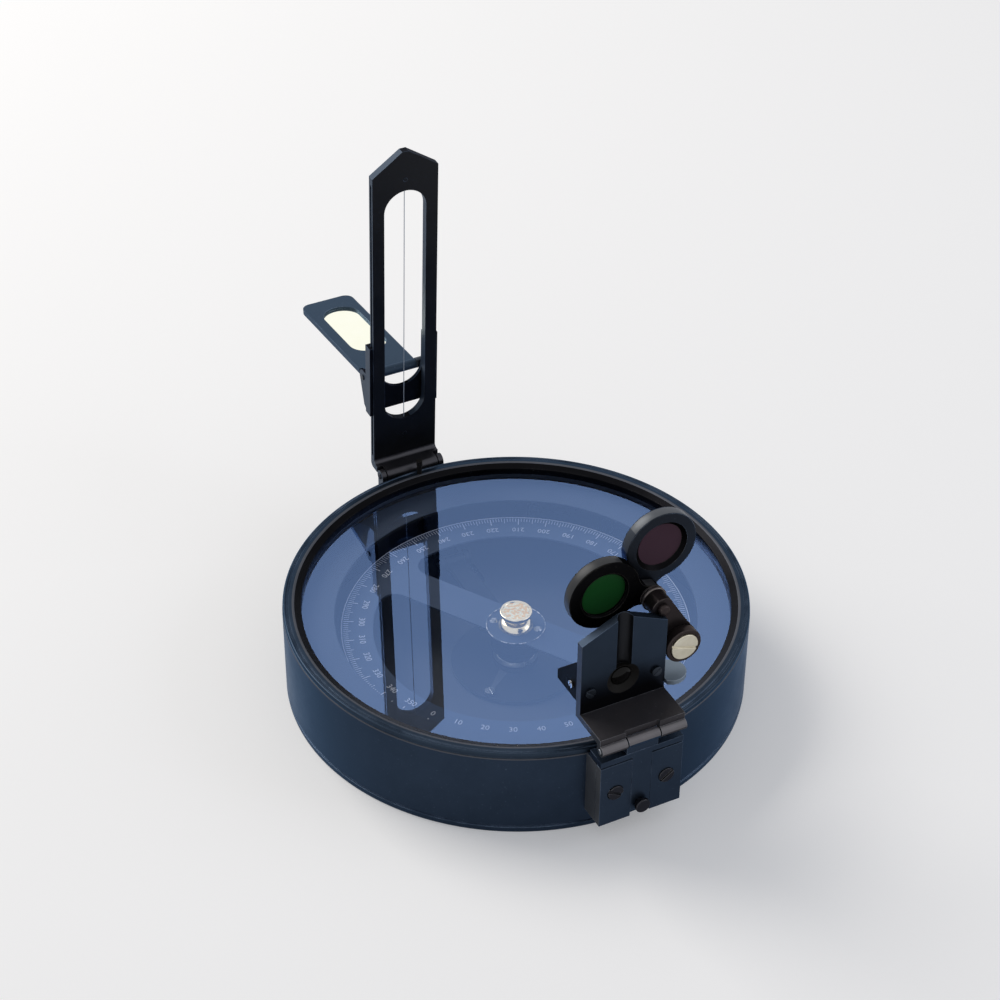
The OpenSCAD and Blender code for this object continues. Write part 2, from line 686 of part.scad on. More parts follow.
// Focusing block and slide
module guide_block() {
    half = block_w / 2;
    color("#1b212c") difference() {
        block([-half, cheek_y, block_z], [half, -case_r + 3, block_top]);
        at([0, 0, -1]) cylinder(r = case_r, h = wall_top + 1.01, $fn = 180);
        at([0, 0, wall_top]) cylinder(r = case_r + gap, h = 5, $fn = 180);
        block([-tongue_w / 2 - run, cheek_y - 1, block_z - 1],
            [tongue_w / 2 + run, spring_y + spring_t, block_top + 1]);
        for (s = [-1, 1]) at([s * cheek_screw_x, 0, cheek_screw_z])
            rod_y(1.1 + seat, cheek_y - 1, -case_r + 3, $fn = 32);
    }
}
module cheek(side) {
    inner = stem_w / 2 + run;
    x0 = side > 0 ? inner : -block_w / 2;
    x1 = side > 0 ? block_w / 2 : -inner;
    color("#1b212c") difference() {
        block([x0, front_y, block_z], [x1, cheek_y, block_top]);
        at([side * cheek_screw_x, 0, cheek_screw_z]) {
            rod_y(1.1 + seat, front_y - 1, cheek_y + 1, $fn = 32);
            rod_y(cheek_screw_d / 2 + seat, front_y - 1, front_y + 1, $fn = 48);
        }
    }
}
module left_cheek() { cheek(-1); }
module right_cheek() { cheek(1); }
module cheek_screws() {
    color("#15171b") for (s = [-1, 1]) at([s * cheek_screw_x, front_y - 0.3, cheek_screw_z])
        rotate([90, 0, 0]) rotate([0, 0, s > 0 ? 35 : -30]) slotted_screw(cheek_screw_d, 1.3, 2.2, 4, 0.7);
}
module focusing_slide() {
    half = block_w / 2;
    color("#1d2430") difference() {
        union() {
            block([-stem_w / 2, front_y, stud_z - 1.6], [stem_w / 2, cheek_y + 2 * run, bar_z + eps]);
            block([-tongue_w / 2, cheek_y + run, block_z + 1],
                [tongue_w / 2, cheek_y + run + tongue_t, bar_z + eps]);
            block([-half, front_y, bar_z], [half, tee_back, bar_top]);
            block([-middle_w / 2, prism_hinge_y - 0.3, bar_top - 1],
                [middle_w / 2, tee_back - 1, prism_hinge_z]);
            at([0, prism_hinge_y, prism_hinge_z]) rod_x(prism_barrel_r, -middle_w / 2, middle_w / 2);
        }
        at([0, prism_hinge_y, prism_hinge_z]) rod_x(prism_pin_d / 2 + seat, -half, half);
        at([0, 0, stud_z]) rod_y(0.9 + seat, front_y - 1, cheek_y + 1, $fn = 32);
    }
}
module focusing_stud() {
    color("#101216") at([0, 0, stud_z]) {
        rod_y(0.9, front_y - eps, cheek_y + 0.5, $fn = 32);
        rod_y(stud_d / 2 - 0.5, front_y - 0.6, front_y, $fn = 48);
        rod_y(stud_d / 2, front_y - 1.6, front_y - 0.6, $fn = 48);
    }
}
module slide_spring() {
    color("#b5a06a") block([-2.5, spring_y, block_z + 2], [2.5, spring_y + spring_t, block_top - 2]);
}
module prism_hinge_pin() {
    color("#5a5f66") at([0, prism_hinge_y, prism_hinge_z])
        rod_x(prism_pin_d / 2, -plate_w / 2 - 0.2, plate_w / 2 + 0.2);
}

// Prism assembly
module prism_bracket() {
    half = plate_w / 2;
    knuckle = middle_w / 2 + gap;
    color("#191c22") difference() {
        union() {
            block([-half, prism_hinge_y, leaf_z - leaf_t], [half, plate_back, leaf_z]);
            for (s = [-1, 1]) at([0, prism_hinge_y, prism_hinge_z])
                rod_x(prism_barrel_r, s > 0 ? knuckle : -half, s > 0 ? half : -knuckle);
            for (s = [-1, 1]) block([s > 0 ? knuckle : -half, prism_hinge_y, prism_hinge_z],
                [s > 0 ? half : -knuckle, prism_hinge_y + prism_barrel_r, leaf_z]);
            plate_xz(plate_y, plate_back) eye_plate_outline();
        }
        block([-knuckle, prism_hinge_y - 3, prism_hinge_z - 3], [knuckle, prism_hinge_y + 0.6, leaf_z + 1]);
        at([0, prism_hinge_y, prism_hinge_z]) rod_x(prism_pin_d / 2 + run, -half - 1, half + 1);
        at([0, 0, eye_z]) {
            rod_y(eye_d / 2, plate_y - 2, plate_back + 1);
            at([0, plate_y - eps, 0]) rotate([-90, 0, 0])
                cylinder(d1 = eye_d + 3, d2 = eye_d, h = 1.1);
        }
        at([0, plate_y, groove_z]) cylinder(d = groove_w, h = shoulder_up, $fn = 48);
        for (s = [-1, 1]) at([s * box_screw_x, 0, box_screw_z])
            rod_y(0.7 + seat, plate_y - 1, plate_back + 1);
        for (x = bracket_screw_x) at([x, 0, bracket_screw_z])
            rod_y(0.5 + seat, plate_y + 0.8, plate_back + 1);
    }
}
module eye_plate_outline() {
    half = plate_w / 2;
    polygon([[-half, leaf_z - leaf_t], [half, leaf_z - leaf_t], [half, shoulder_z],
        [1.2, shoulder_z + plate_gable], [0, shoulder_z + plate_gable + 0.15],
        [-1.2, shoulder_z + plate_gable], [-half, shoulder_z]]);
}
// The box's outline, set in by a wall and open at the front from y = front
module box_profile(inset, front) {
    y0 = plate_back + seat;
    side = box_side - 2.4 * inset;
    z0 = box_z + inset;
    step = max(0, front - y0);
    polygon([[front, z0], [y0 + side - box_heel, z0], [y0 + side - box_heel, z0 + box_heel],
        [y0 + step, z0 + side - step], [front, z0 + side - step]]);
}
module prism_box() {
    half = box_w / 2;
    inner = half - box_cheek;
    color("#1a1614") difference() {
        plate_yz(-half, half) box_profile(0, plate_back + seat);
        plate_yz(-inner, inner) box_profile(box_wall, plate_back - 1);
        block([-inner + 0.6, plate_back + 1, box_z - 1],
            [inner - 0.6, plate_back + box_side - 4, box_z + 1]);
        for (s = [-1, 1]) {
            at([s * box_screw_x, 0, box_screw_z]) rod_y(0.7 + seat, plate_back - 1, plate_back + 1);
            at([0, side_screw_y, side_screw_z])
                rod_x(0.6 + seat, s > 0 ? half - 1.3 : -half - 1, s > 0 ? half + 1 : -half + 1.3);
        }
    }
}
module prism() {
    half = box_w / 2 - box_cheek - 0.15;
    color("#a8c4c0", 0.5) {
        plate_yz(-half, half) box_profile(box_wall + 0.15, plate_back + 0.4);
        intersection() {
            at([0, plate_y + 0.5 + 7, eye_z]) sphere(r = 7);
            at([0, 0, eye_z]) rod_y(eye_d / 2 - 0.15, plate_y, plate_back + 1.5);
        }
    }
}
module prism_box_screws() {
    color("#8c8a84") for (s = [-1, 1]) at([s * box_screw_x, plate_y - 0.6, box_screw_z])
        rotate([90, 0, 0]) rotate([0, 0, 40 * s]) slotted_screw(box_screw_d, 0.6, 1.4, plate_t + 0.8, 0.4);
}
module prism_side_screws() {
    half = box_w / 2;
    color("#8c8a84") for (s = [-1, 1]) at([s * (half + 0.5), side_screw_y, side_screw_z])
        rotate([0, 90 * s, 0]) slotted_screw(side_screw_d, 0.5, 1.2, 1.3, 0.4);
}
module lifting_tab() {
    x_edge = plate_w / 2 + 0.15;
    y0 = plate_back + 0.1;
    cy = plate_y + 1.9;
    color("#586470") translate([0, 0, box_z - tab_t]) linear_extrude(tab_t - eps) {
        intersection() {
            translate([x_edge + 2.4, cy]) circle(r = tab_r);
            translate([x_edge, cy - 2 * tab_r]) square([4 * tab_r, 4 * tab_r]);
        }
        translate([box_w / 2 - 3, y0]) square([4, tab_r - 0.4]);
    }
}

// Sun glasses
module filter_bracket() {
    arm = norm([pivot_x - bush_x, pivot_z - bush_z]);
    color("#16181d") difference() {
        union() {
            plate_xz(plate_back + seat, plate_back + bracket_t) {
                translate([bush_x, bush_z]) circle(r = bush_r);
                translate([pivot_x, pivot_z]) circle(r = hub_r);
                translate([bush_x, bush_z]) rotate(atan2(pivot_z - bush_z, pivot_x - bush_x))
                    polygon([[0, -0.97 * bush_r], [arm, -0.97 * hub_r], [arm, 0.97 * hub_r],
                        [0, 0.97 * bush_r]]);
                translate([plate_w / 2 - 4.6, box_z + box_side + 0.3])
                    square([4.6, shoulder_z - box_z - box_side - 0.6]);
            }
            at([pivot_x, 0, pivot_z]) rod_y(hub_r, boss_y - eps, green_y - gap);
        }
        at([bush_x, 0, bush_z]) rod_y(1.5 + seat, plate_back - 1, plate_back + 3);
        at([pivot_x, 0, pivot_z]) rod_y(pivot_d / 2 + seat, plate_back - 1, green_y);
        for (x = bracket_screw_x) at([x, 0, bracket_screw_z]) rod_y(0.5 + seat, plate_back - 1, boss_y + 1);
        // Clear of the prism box below
        block([-plate_w, plate_back - 1, 0], [plate_w / 2 + 0.1, boss_y + 1, box_z + box_side + 0.2]);
    }
}
module bracket_screws() {
    color("#2a2b2e") for (x = bracket_screw_x) at([x, boss_y + 0.5, bracket_screw_z])
        rotate([-90, 0, 0]) slotted_screw(1.8, 0.5, 1, bracket_t + 1, 0.35);
}
module bracket_bush() {
    color("#101114") at([bush_x, 0, bush_z]) difference() {
        union() {
            rod_y(bush_r, plate_y - 0.3, plate_back);
            rod_y(bush_r, plate_back + bracket_t + seat, plate_back + bracket_t + 1.1);
            rod_y(1.5, plate_back - eps, plate_back + bracket_t + 0.1);
        }
        rod_y(bush_head_d / 2 + seat, plate_y - 1, plate_y + 0.4);
        rod_y(0.9 + seat, plate_y - 1, plate_back + 1);
    }
}
module brass_screw() {
    color("#b0aa92") at([bush_x, plate_y - 0.7, bush_z]) rotate([90, 0, 0]) rotate([0, 0, -19])
        slotted_screw(bush_head_d, 1, 1.8, 2, 0.6);
}
module filter_pivot() {
    color("#5a5f66") at([pivot_x, 0, pivot_z]) rod_y(pivot_d / 2, plate_back + seat, cap_y + 1);
}
module pivot_cap() {
    color("#1c1e23") at([pivot_x, 0, pivot_z]) difference() {
        rod_y(2.2, cap_y, cap_y + 1.4);
        rod_y(pivot_d / 2 + seat, cap_y - 1, cap_y + 1 + seat);
    }
}
module filter_frame(arm, y0) {
    glass_d = filter_glass_d + 1.2;
    root = arm - sqrt(pow(filter_d / 2, 2) - pow(3.9, 2));
    difference() {
        union() {
            at([arm, 0, 0]) rod_y(filter_d / 2, y0, y0 + filter_t);
            rod_y(hub_r, y0, y0 + filter_t);
            plate_xz(y0, y0 + filter_t)
                polygon([[0, -2.4], [root + 0.2, -3.9], [root + 0.2, 3.9], [0, 2.4]]);
        }
        rod_y(pivot_d / 2 + run, y0 - 1, y0 + filter_t + 1);
        at([arm, 0, 0]) {
            rod_y(filter_glass_d / 2, y0 - 1, y0 + filter_t + 1);
            rod_y(glass_d / 2, y0 + 0.9, y0 + filter_t + 1);
        }
    }
}
module filter_lens(arm, y0) {
    at([arm, 0, 0]) rod_y(filter_glass_d / 2 + 0.6 - seat, y0 + 0.9 + seat, y0 + filter_t - 0.5);
}
module green_frame() { color("#0d0f12") on_arm(green_angle) filter_frame(green_arm, green_y); }
module green_glass() { color("#12301a") on_arm(green_angle) filter_lens(green_arm, green_y); }
module red_frame() { color("#141922") on_arm(red_angle) filter_frame(red_arm, red_y); }
module red_glass() { color("#38242e") on_arm(red_angle) filter_lens(red_arm, red_y); }

// Lifting work
module lifting_pin() {
    color("#3a3d44") at([0, lift_y, 0]) {
        at([0, 0, lever_z + 2.9]) cylinder(d = lift_pin_d, h = lift_head_z - lever_z - 2.9 + eps, $fn = 32);
        at([0, 0, lift_head_z]) cylinder(d = lift_pin_d + 0.3, h = lift_head_h, $fn = 32);
    }
}
module lifting_lever() {
    fork_r = 6.2;
    color("#a99157") difference() {
        union() {
            at([0, 0, lever_z - lever_t / 2]) linear_extrude(lever_t) {
                circle(r = fork_r);
                translate([-lever_w / 2, 3]) square([lever_w, lift_y - 6]);
            }
            block([-lever_w / 2 + 1.4, lift_y - 4, lever_z - lever_t / 2],
                [lever_w / 2 - 1.4, lift_y + 0.8, lever_z + 2.6]);
            at([0, lever_y, lever_z]) rod_x(1.6, -lever_w / 2, lever_w / 2);
        }
        at([0, 0, 0]) cylinder(r = 4.2, h = 2 * lever_z);
        at([0, lever_y, lever_z]) rod_x(0.8 + run, -lever_w, lever_w);
    }
}
module lever_stand() {
    inner = lever_w / 2 + gap;
    color("#9c8350") difference() {
        union() {
            block([-7, lever_y - 3, floor_z], [7, lever_y + 3, floor_z + 1.2]);
            for (s = [-1, 1]) {
                x0 = s > 0 ? inner : -inner - 1.2;
                block([x0, lever_y - 2, floor_z + 1], [x0 + 1.2, lever_y + 2, lever_z]);
                at([0, lever_y, lever_z]) rod_x(2, x0, x0 + 1.2);
            }
        }
        at([0, lever_y, lever_z]) rod_x(0.8 + seat, -7, 7);
        block([-1.5 - seat, lever_y - 2 - seat, floor_z - 1],
            [1.5 + seat, lever_y + 4, floor_z + 0.5 + seat]);
        for (s = [-1, 1]) at([s * 5.5, lever_y, 0]) cylinder(r = 0.6 + seat, h = lever_z, $fn = 24);
    }
}
module lever_pin() {
    reach = lever_w / 2 + gap + 1.4;
    color("#5a5f66") at([0, lever_y, lever_z]) rod_x(0.8, -reach, reach);
}
module stand_screws() {
    color("#b9b4a8") for (s = [-1, 1]) at([s * 5.5, lever_y, floor_z + 1.8])
        rotate([0, 0, 60]) slotted_screw(2, 0.6, 1.2, 1.2);
}
module lever_spring() {
    z0 = floor_z;
    z1 = lever_z - 2;
    foot = lever_y + lever_foot;
    end = lever_y + lever_spring_l;
    color("#c2a964") plate_yz(-1.5, 1.5) polygon([[lever_y - 2, z0], [foot, z0], [end, z1 - 0.4],
        [end, z1], [end - 0.4, z1], [foot - 0.3, z0 + 0.5], [lever_y - 2, z0 + 0.5]]);
}

// Brake: pressing the button bends the spring towards the card's edge
module brake_button() {
    color("#2a2d33") on_brake() at([0, 0, brake_z]) {
        rod_y(button_r, leaf_y + 0.6 + gap, case_r + brake_travel + gap + 0.4, $fn = 48);
        rod_y(2.6, case_r + brake_travel + gap, case_r + brake_travel + gap + 1.8, $fn = 48);
        rod_y(2.2, leaf_y + 0.6 + gap, leaf_y + 2.2 + gap, $fn = 48);
    }
}
module brake_spring() {
    color("#c2a964") on_brake() difference() {
        union() {
            block([-pad_w - 0.5, leaf_y, leaf_low], [brake_pivot_x, leaf_y + 0.5, leaf_low + leaf_h]);
            block([-pad_w - 0.5, card_r + pad_gap, card_under - 0.6], [-0.5, leaf_y + 0.5, card_z + 0.8]);
            block([-pad_w - 0.5, leaf_y, brake_z], [-0.5, leaf_y + 0.5, card_z + 0.8]);
            at([brake_pivot_x, leaf_y + 0.25, leaf_low]) cylinder(r = brake_eye_r, h = leaf_h, $fn = 48);
        }
        at([brake_pivot_x, leaf_y + 0.25, 0]) cylinder(r = brake_bore + run, h = case_h, $fn = 48);
    }
}
module brake_post() {
    color("#9c8350") on_brake() at([brake_pivot_x, leaf_y + 0.25, floor_z]) {
        cylinder(r = brake_eye_r + 0.4, h = leaf_low - floor_z - 0.1, $fn = 48);
        cylinder(r = brake_bore, h = leaf_low + leaf_h + 0.6 - floor_z, $fn = 48);
    }
}

case_body();
tripod_bush();
bush_screws();
glass_gasket();
glass();
bezel();
pivot_post();
pivot_pin();
card_ring();
magnetic_needle();
card_rivets();
cap();
cap_jewel();
dip_weight();
vane_bracket();
vane_bracket_screws();
vane_hinge_pin();
sight_vane();
hair_line();
hair_pins();
mirror_slider();
mirror_hinge_pin();
mirror_spacer();
mirror_frame();
mirror_glass();
mirror_back();
guide_block();
left_cheek();
right_cheek();
cheek_screws();
focusing_slide();
focusing_stud();
slide_spring();
prism_hinge_pin();
prism_bracket();
prism_box();
prism();
prism_box_screws();
prism_side_screws();
lifting_tab();
filter_bracket();
bracket_screws();
bracket_bush();
brass_screw();
filter_pivot();
pivot_cap();
green_frame();
green_glass();
red_frame();
red_glass();
lifting_pin();
lifting_lever();
lever_stand();
lever_pin();
stand_screws();
lever_spring();
brake_button();
brake_spring();
brake_post();
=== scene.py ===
import math

import bmesh
import bpy
import numpy as np
from mathutils import Matrix, Vector


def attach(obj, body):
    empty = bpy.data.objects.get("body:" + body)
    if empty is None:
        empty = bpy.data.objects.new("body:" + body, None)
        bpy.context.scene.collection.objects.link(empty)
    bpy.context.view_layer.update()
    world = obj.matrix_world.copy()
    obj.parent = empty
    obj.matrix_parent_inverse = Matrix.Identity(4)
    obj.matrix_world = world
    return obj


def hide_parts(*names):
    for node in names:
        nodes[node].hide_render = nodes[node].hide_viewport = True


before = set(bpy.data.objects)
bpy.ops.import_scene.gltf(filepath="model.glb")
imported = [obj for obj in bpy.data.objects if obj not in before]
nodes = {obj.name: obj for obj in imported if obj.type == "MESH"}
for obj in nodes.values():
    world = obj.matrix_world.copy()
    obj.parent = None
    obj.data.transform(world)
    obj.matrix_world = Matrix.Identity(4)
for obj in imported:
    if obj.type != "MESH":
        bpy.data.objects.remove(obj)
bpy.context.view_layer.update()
scene = bpy.context.scene
MM = 0.001

# Camera
# A portrait lens looks down on the compass from in front of the prism and a little
# to its left, turned by less than half a degree.
AZIMUTH = math.radians(-27.02)
ELEVATION = math.radians(37.44)
ROLL = math.radians(0.40)
DISTANCE = 600 * MM
AIM_RIGHT = -3.68 * MM
AIM_UP = 40.9 * MM

back = Vector((
    math.sin(AZIMUTH) * math.cos(ELEVATION),
    -math.cos(AZIMUTH) * math.cos(ELEVATION),
    math.sin(ELEVATION),
))
level = (-back).cross(Vector((0, 0, 1))).normalized()
upright = level.cross(-back)
right = math.cos(ROLL) * level + math.sin(ROLL) * upright
up = -math.sin(ROLL) * level + math.cos(ROLL) * upright
camera_data = bpy.data.cameras.new("camera")
camera_data.lens = 89.57
camera_data.sensor_width = 36
camera = bpy.data.objects.new("camera", camera_data)
scene.collection.objects.link(camera)
position = AIM_RIGHT * right + AIM_UP * up + DISTANCE * back
camera.matrix_world = Matrix((
    (right.x, up.x, back.x, position.x),
    (right.y, up.y, back.y, position.y),
    (right.z, up.z, back.z, position.z),
    (0, 0, 0, 1),
))
scene.camera = camera
scene.view_settings.view_transform = "Standard"


# Studio
# A pale paper floor under an even white room, with one large soft lamp behind on the
# left and a weak one on the right. The floor keeps the shadow of the case.
def linear(colour):
    """The linear colour of an sRGB hex value: each channel by the sRGB curve."""
    parts = np.array([int(colour[i : i + 2], 16) for i in (1, 3, 5)]) / 255
    low = parts / 12.92
    high = ((parts + 0.055) / 1.055) ** 2.4
    return (*np.where(parts <= 0.04045, low, high), 1)


def add(tree, kind, inputs=None, **settings):
    """Add a node of a kind, set its settings, and fill or link its inputs."""
    node = tree.nodes.new("ShaderNode" + kind)
    for name, value in settings.items():
        setattr(node, name, value)
    for name, value in (inputs or {}).items():
        socket = node.inputs[name]
        if isinstance(value, bpy.types.NodeSocket):
            tree.links.new(value, socket)
        else:
            socket.default_value = value
    return node


def material(name):
    """An empty node material and its output node."""
    made = bpy.data.materials.new(name)
    made.use_nodes = True
    made.node_tree.nodes.clear()
    return made, made.node_tree, made.node_tree.nodes.new("ShaderNodeOutputMaterial")


def skin(name, grid, closed=True):
    """A mesh object from a grid of points in millimetres: each cell of the grid is a
    face. A closed grid meets itself both ways round."""
    index = np.arange(grid.shape[0] * grid.shape[1]).reshape(grid.shape[:2])
    if closed:
        index = np.pad(index, ((0, 1), (0, 1)), mode="wrap")
    faces = np.stack([index[:-1, :-1], index[:-1, 1:], index[1:, 1:], index[1:, :-1]], -1)
    mesh = bpy.data.meshes.new(name)
    mesh.from_pydata(grid.reshape(-1, 3) * MM, [], faces.reshape(-1, 4).tolist())
    mesh.update()
    return bpy.data.objects.new(name, mesh)


def tidy_mesh(piece):
    """Merge the points that meet and turn the faces outwards."""
    work = bmesh.new()
    work.from_mesh(piece.data)
    bmesh.ops.remove_doubles(work, verts=work.verts, dist=1e-6)
    bmesh.ops.dissolve_degenerate(work, edges=work.edges, dist=1e-7)
    bmesh.ops.recalc_face_normals(work, faces=work.faces)
    work.to_mesh(piece.data)
    work.free()


def place(piece, body, finish, *replaced, smooth=30):
    """Put a piece in the scene with its finish, on its body, for the nodes it replaces.
    Faces that meet at less than the smooth angle are shaded as one surface."""
    scene.collection.objects.link(piece)
    piece.data.materials.append(finish)
    piece.data.polygons.foreach_set("use_smooth", np.ones(len(piece.data.polygons), bool))
    piece.data.set_sharp_from_angle(angle=math.radians(smooth))
    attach(piece, body)
    if replaced:
        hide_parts(*replaced)
    return piece


def background_rays(tree):
    """1 for a ray from the camera, a mirror or a glass, and 0 for one that gives light."""
    rays = add(tree, "LightPath").outputs
    seen = add(tree, "Math", {0: rays["Is Camera Ray"], 1: rays["Is Glossy Ray"]},
               operation="MAXIMUM")
    seen = add(tree, "Math", {0: seen.outputs[0], 1: rays["Is Transmission Ray"]},
               operation="MAXIMUM")
    return seen.outputs[0]


floor_half = 4000
corners = np.array([[[-1, -1, 0], [-1, 1, 0]], [[1, -1, 0], [1, 1, 0]]])
floor = skin("floor", corners * floor_half, closed=False)
scene.collection.objects.link(floor)

# Matt paper, a little brighter to the camera than it is to the compass, so that it
# looks nearly white and still shows the shadow.
paper, tree, out = material("pale paper sweep")
sheet = add(tree, "BsdfDiffuse", {"Color": linear("#e9e9e9")})
lift = add(tree, "Emission", {"Color": linear("#ffffff"), "Strength": 0.23})
both = add(tree, "AddShader", {0: sheet.outputs[0], 1: lift.outputs[0]})
mixed = add(tree, "MixShader", {
    0: background_rays(tree), 1: sheet.outputs[0], 2: both.outputs[0]})
tree.links.new(mixed.outputs[0], out.inputs["Surface"])
floor.data.materials.append(paper)

world = bpy.data.worlds.new("white room")
scene.world = world
world.use_nodes = True
tree = world.node_tree
tree.nodes.clear()
out = tree.nodes.new("ShaderNodeOutputWorld")
room = add(tree, "Background", {"Color": linear("#f4f7ff"), "Strength": 0.38})
white = add(tree, "Background", {"Color": linear("#ffffff"), "Strength": 1.0})
mixed = add(tree, "MixShader", {
    0: background_rays(tree), 1: room.outputs[0], 2: white.outputs[0]})
tree.links.new(mixed.outputs[0], out.inputs["Surface"])


def lamp(name, place_at, power, size, colour):
    """A square area lamp that faces the compass."""
    data = bpy.data.lights.new(name, "AREA")
    data.energy = power
    data.size = size
    data.color = linear(colour)[:3]
    lamp_object = bpy.data.objects.new(name, data)
    lamp_object.location = place_at
    aim = Vector((0, 0, 30 * MM)) - Vector(place_at)
    lamp_object.rotation_euler = aim.to_track_quat("-Z", "Y").to_euler()
    scene.collection.objects.link(lamp_object)


lamp("key lamp", (-0.45, 0.9, 0.85), 10.5, 0.8, "#fffaf2")
lamp("fill lamp", (0.8, -0.5, 0.5), 1.6, 0.6, "#eef3ff")


# Case
# A shallow bowl turned from brass bar, with a shelf for the glass and a fine bead round
# its foot, stoved with a thin blue-black enamel that is worn a little at the edges.
def arc(centre, radius, start, end, count=6):
    """Points on a circle round centre, from the start to the end angle in degrees."""
    a = np.radians(np.linspace(start, end, count))
    return np.stack([centre[0] + radius * np.cos(a), centre[1] + radius * np.sin(a)], -1)


def lathe(name, profile, turns=256, axis="z", centre=(0, 0, 0)):
    """A closed profile of radius and height turned round an axis: the point at angle t
    is (r cos t, r sin t, h), with h along the axis."""
    t = np.linspace(0, 2 * np.pi, turns, endpoint=False)[:, None]
    r, h = np.asarray(profile, float).T
    ring = np.stack([r * np.cos(t), r * np.sin(t), h + 0 * t], -1)
    order = {"z": (0, 1, 2), "x": (2, 0, 1), "y": (1, 2, 0)}[axis]
    piece = skin(name, ring[..., order] + np.array(centre))
    tidy_mesh(piece)
    return piece


def per(size):
    """The scale of a pattern whose features lie a size in millimetres apart."""
    return 1 / (size * MM)


def enamel(name, colour, worn, rough=0.36, shine=0.12, edge=0.12, tint="#b4d2f8",
           lustre=0.8, darker_below=None):
    """Stoved enamel on brass. Its colour drifts between two tones in clouds of 8 mm, an
    orange peel of 0.35 mm breaks the gloss, dust of 0.45 mm sits in it, and edges
    within an edge's width in millimetres are rubbed to the worn tone in patches. The
    lustre is the metallic share, which takes on the tint where it is seen edge on.
    The last argument, when given, is a low height, a high height and the colour that the
    finish fades to towards the low one."""
    made, tree, out = material(name)
    where = add(tree, "TexCoord").outputs["Object"]
    mottle = add(tree, "TexNoise", {
        "Vector": where, "Scale": per(8.33), "Detail": 5.0, "Roughness": 0.6}).outputs[0]
    peel = add(tree, "TexNoise", {"Vector": where, "Scale": per(0.35), "Detail": 3.0})
    dust = add(tree, "TexNoise", {"Vector": where, "Scale": per(0.4545), "Detail": 2.0})
    # The rounded normal leaves the flat one only near an edge.
    soft = add(tree, "Bevel", {"Radius": edge * MM}, samples=4)
    flat = add(tree, "NewGeometry").outputs["Normal"]
    bend = add(tree, "VectorMath", {0: soft.outputs[0], 1: flat}, operation="DOT_PRODUCT")
    rub = add(tree, "MapRange", {
        "Value": bend.outputs["Value"], "From Min": 0.995, "From Max": 0.93})
    patch = add(tree, "MapRange", {"Value": mottle, "From Min": 0.4, "From Max": 0.56})
    rubbed = add(tree, "Math", {0: rub.outputs[0], 1: patch.outputs[0]},
                 operation="MULTIPLY")
    shade = add(tree, "MixRGB", {0: mottle, 1: linear(colour[0]), 2: linear(colour[1])})
    speck = add(tree, "MapRange", {
        "Value": dust.outputs[0], "From Min": 0.68, "From Max": 0.78, "To Max": 0.25})
    dusty = add(tree, "MixRGB", {0: speck.outputs[0], 1: shade.outputs[0], 2: linear(worn)})
    final = add(tree, "MixRGB", {0: rubbed.outputs[0], 1: dusty.outputs[0], 2: linear(worn)})
    if darker_below:
        low, high, bottom_tone = darker_below
        height = add(tree, "SeparateXYZ", {0: where}).outputs[2]
        upper_share = add(tree, "MapRange", {
            "Value": height, "From Min": low * MM, "From Max": high * MM})
        final = add(tree, "MixRGB", {
            0: upper_share.outputs[0], 1: linear(bottom_tone), 2: final.outputs[0]})
    gloss = add(tree, "MapRange", {
        "Value": mottle, "From Min": 0.3, "From Max": 0.7,
        "To Min": rough - 0.05, "To Max": rough + 0.06})
    bump = add(tree, "Bump", {
        "Height": peel.outputs[0], "Strength": 0.25, "Distance": 0.04 * MM})
    shader = add(tree, "BsdfPrincipled", {
        "Base Color": final.outputs[0], "Metallic": lustre, "Roughness": gloss.outputs[0],
        "Normal": bump.outputs[0], "Specular IOR Level": shine,
        "Specular Tint": linear(tint)})
    tree.links.new(shader.outputs[0], out.inputs["Surface"])
    return made


case_r = 55.0
bore_r = 51.8
wall_top = 22.3
shelf_top = 18.65
shelf_r = 42.9
floor_top = 2.4
wall_round = 0.3
foot_round = 0.4
bead_depth = 0.25

# Satin blue-black: navy where the wall turns to the light, near black in front.
case_enamel = enamel("stoved blue-black enamel", ("#222c3a", "#2e3a4b"), "#6b7b93",
                     tint="#cbe1ff", lustre=0.9)
case_profile = np.concatenate([
    [[0, 0.6], [49.8, 0.6], [50.0, 0.4], [50.0, 0.2], [50.2, 0]],
    arc((case_r - foot_round, foot_round), foot_round, -90, 0),
    [[case_r, 1.45], [case_r - bead_depth, 1.62], [case_r - bead_depth, 1.93], [case_r, 2.1]],
    arc((case_r - wall_round, wall_top - wall_round), wall_round, 0, 90),
    [[bore_r, wall_top], [bore_r, shelf_top], [shelf_r + 0.15, shelf_top],
     [shelf_r, shelf_top - 0.15], [shelf_r, 17.65], [50.8, 17.25], [bore_r, 16.25]],
    [[bore_r, 2.9]], arc((bore_r - 0.5, 2.9), 0.5, 0, -90)[1:], [[0, floor_top]],
])
shell = lathe("case_shell", case_profile, turns=384)
place(shell, "case", case_enamel, "case_body")


def matt_paint(name, dark, pale, rough=0.6):
    """Matt paint inside an instrument: clouds of 11 mm between two tones, and a grain
    that is drawn at 0.4 mm, because the real one is too fine to show."""
    made, tree, out = material(name)
    where = add(tree, "TexCoord").outputs["Object"]
    cloud = add(tree, "TexNoise", {"Vector": where, "Scale": per(11.1), "Detail": 5.0})
    grain = add(tree, "TexNoise", {"Vector": where, "Scale": per(0.4), "Detail": 2.0})
    shade = add(tree, "MixRGB", {0: cloud.outputs[0], 1: linear(dark), 2: linear(pale)})
    bump = add(tree, "Bump", {
        "Height": grain.outputs[0], "Strength": 0.3, "Distance": 0.02 * MM})
    shader = add(tree, "BsdfPrincipled", {
        "Base Color": shade.outputs[0], "Roughness": rough, "Normal": bump.outputs[0],
        "Specular IOR Level": 0.15})
    tree.links.new(shader.outputs[0], out.inputs["Surface"])
    return made


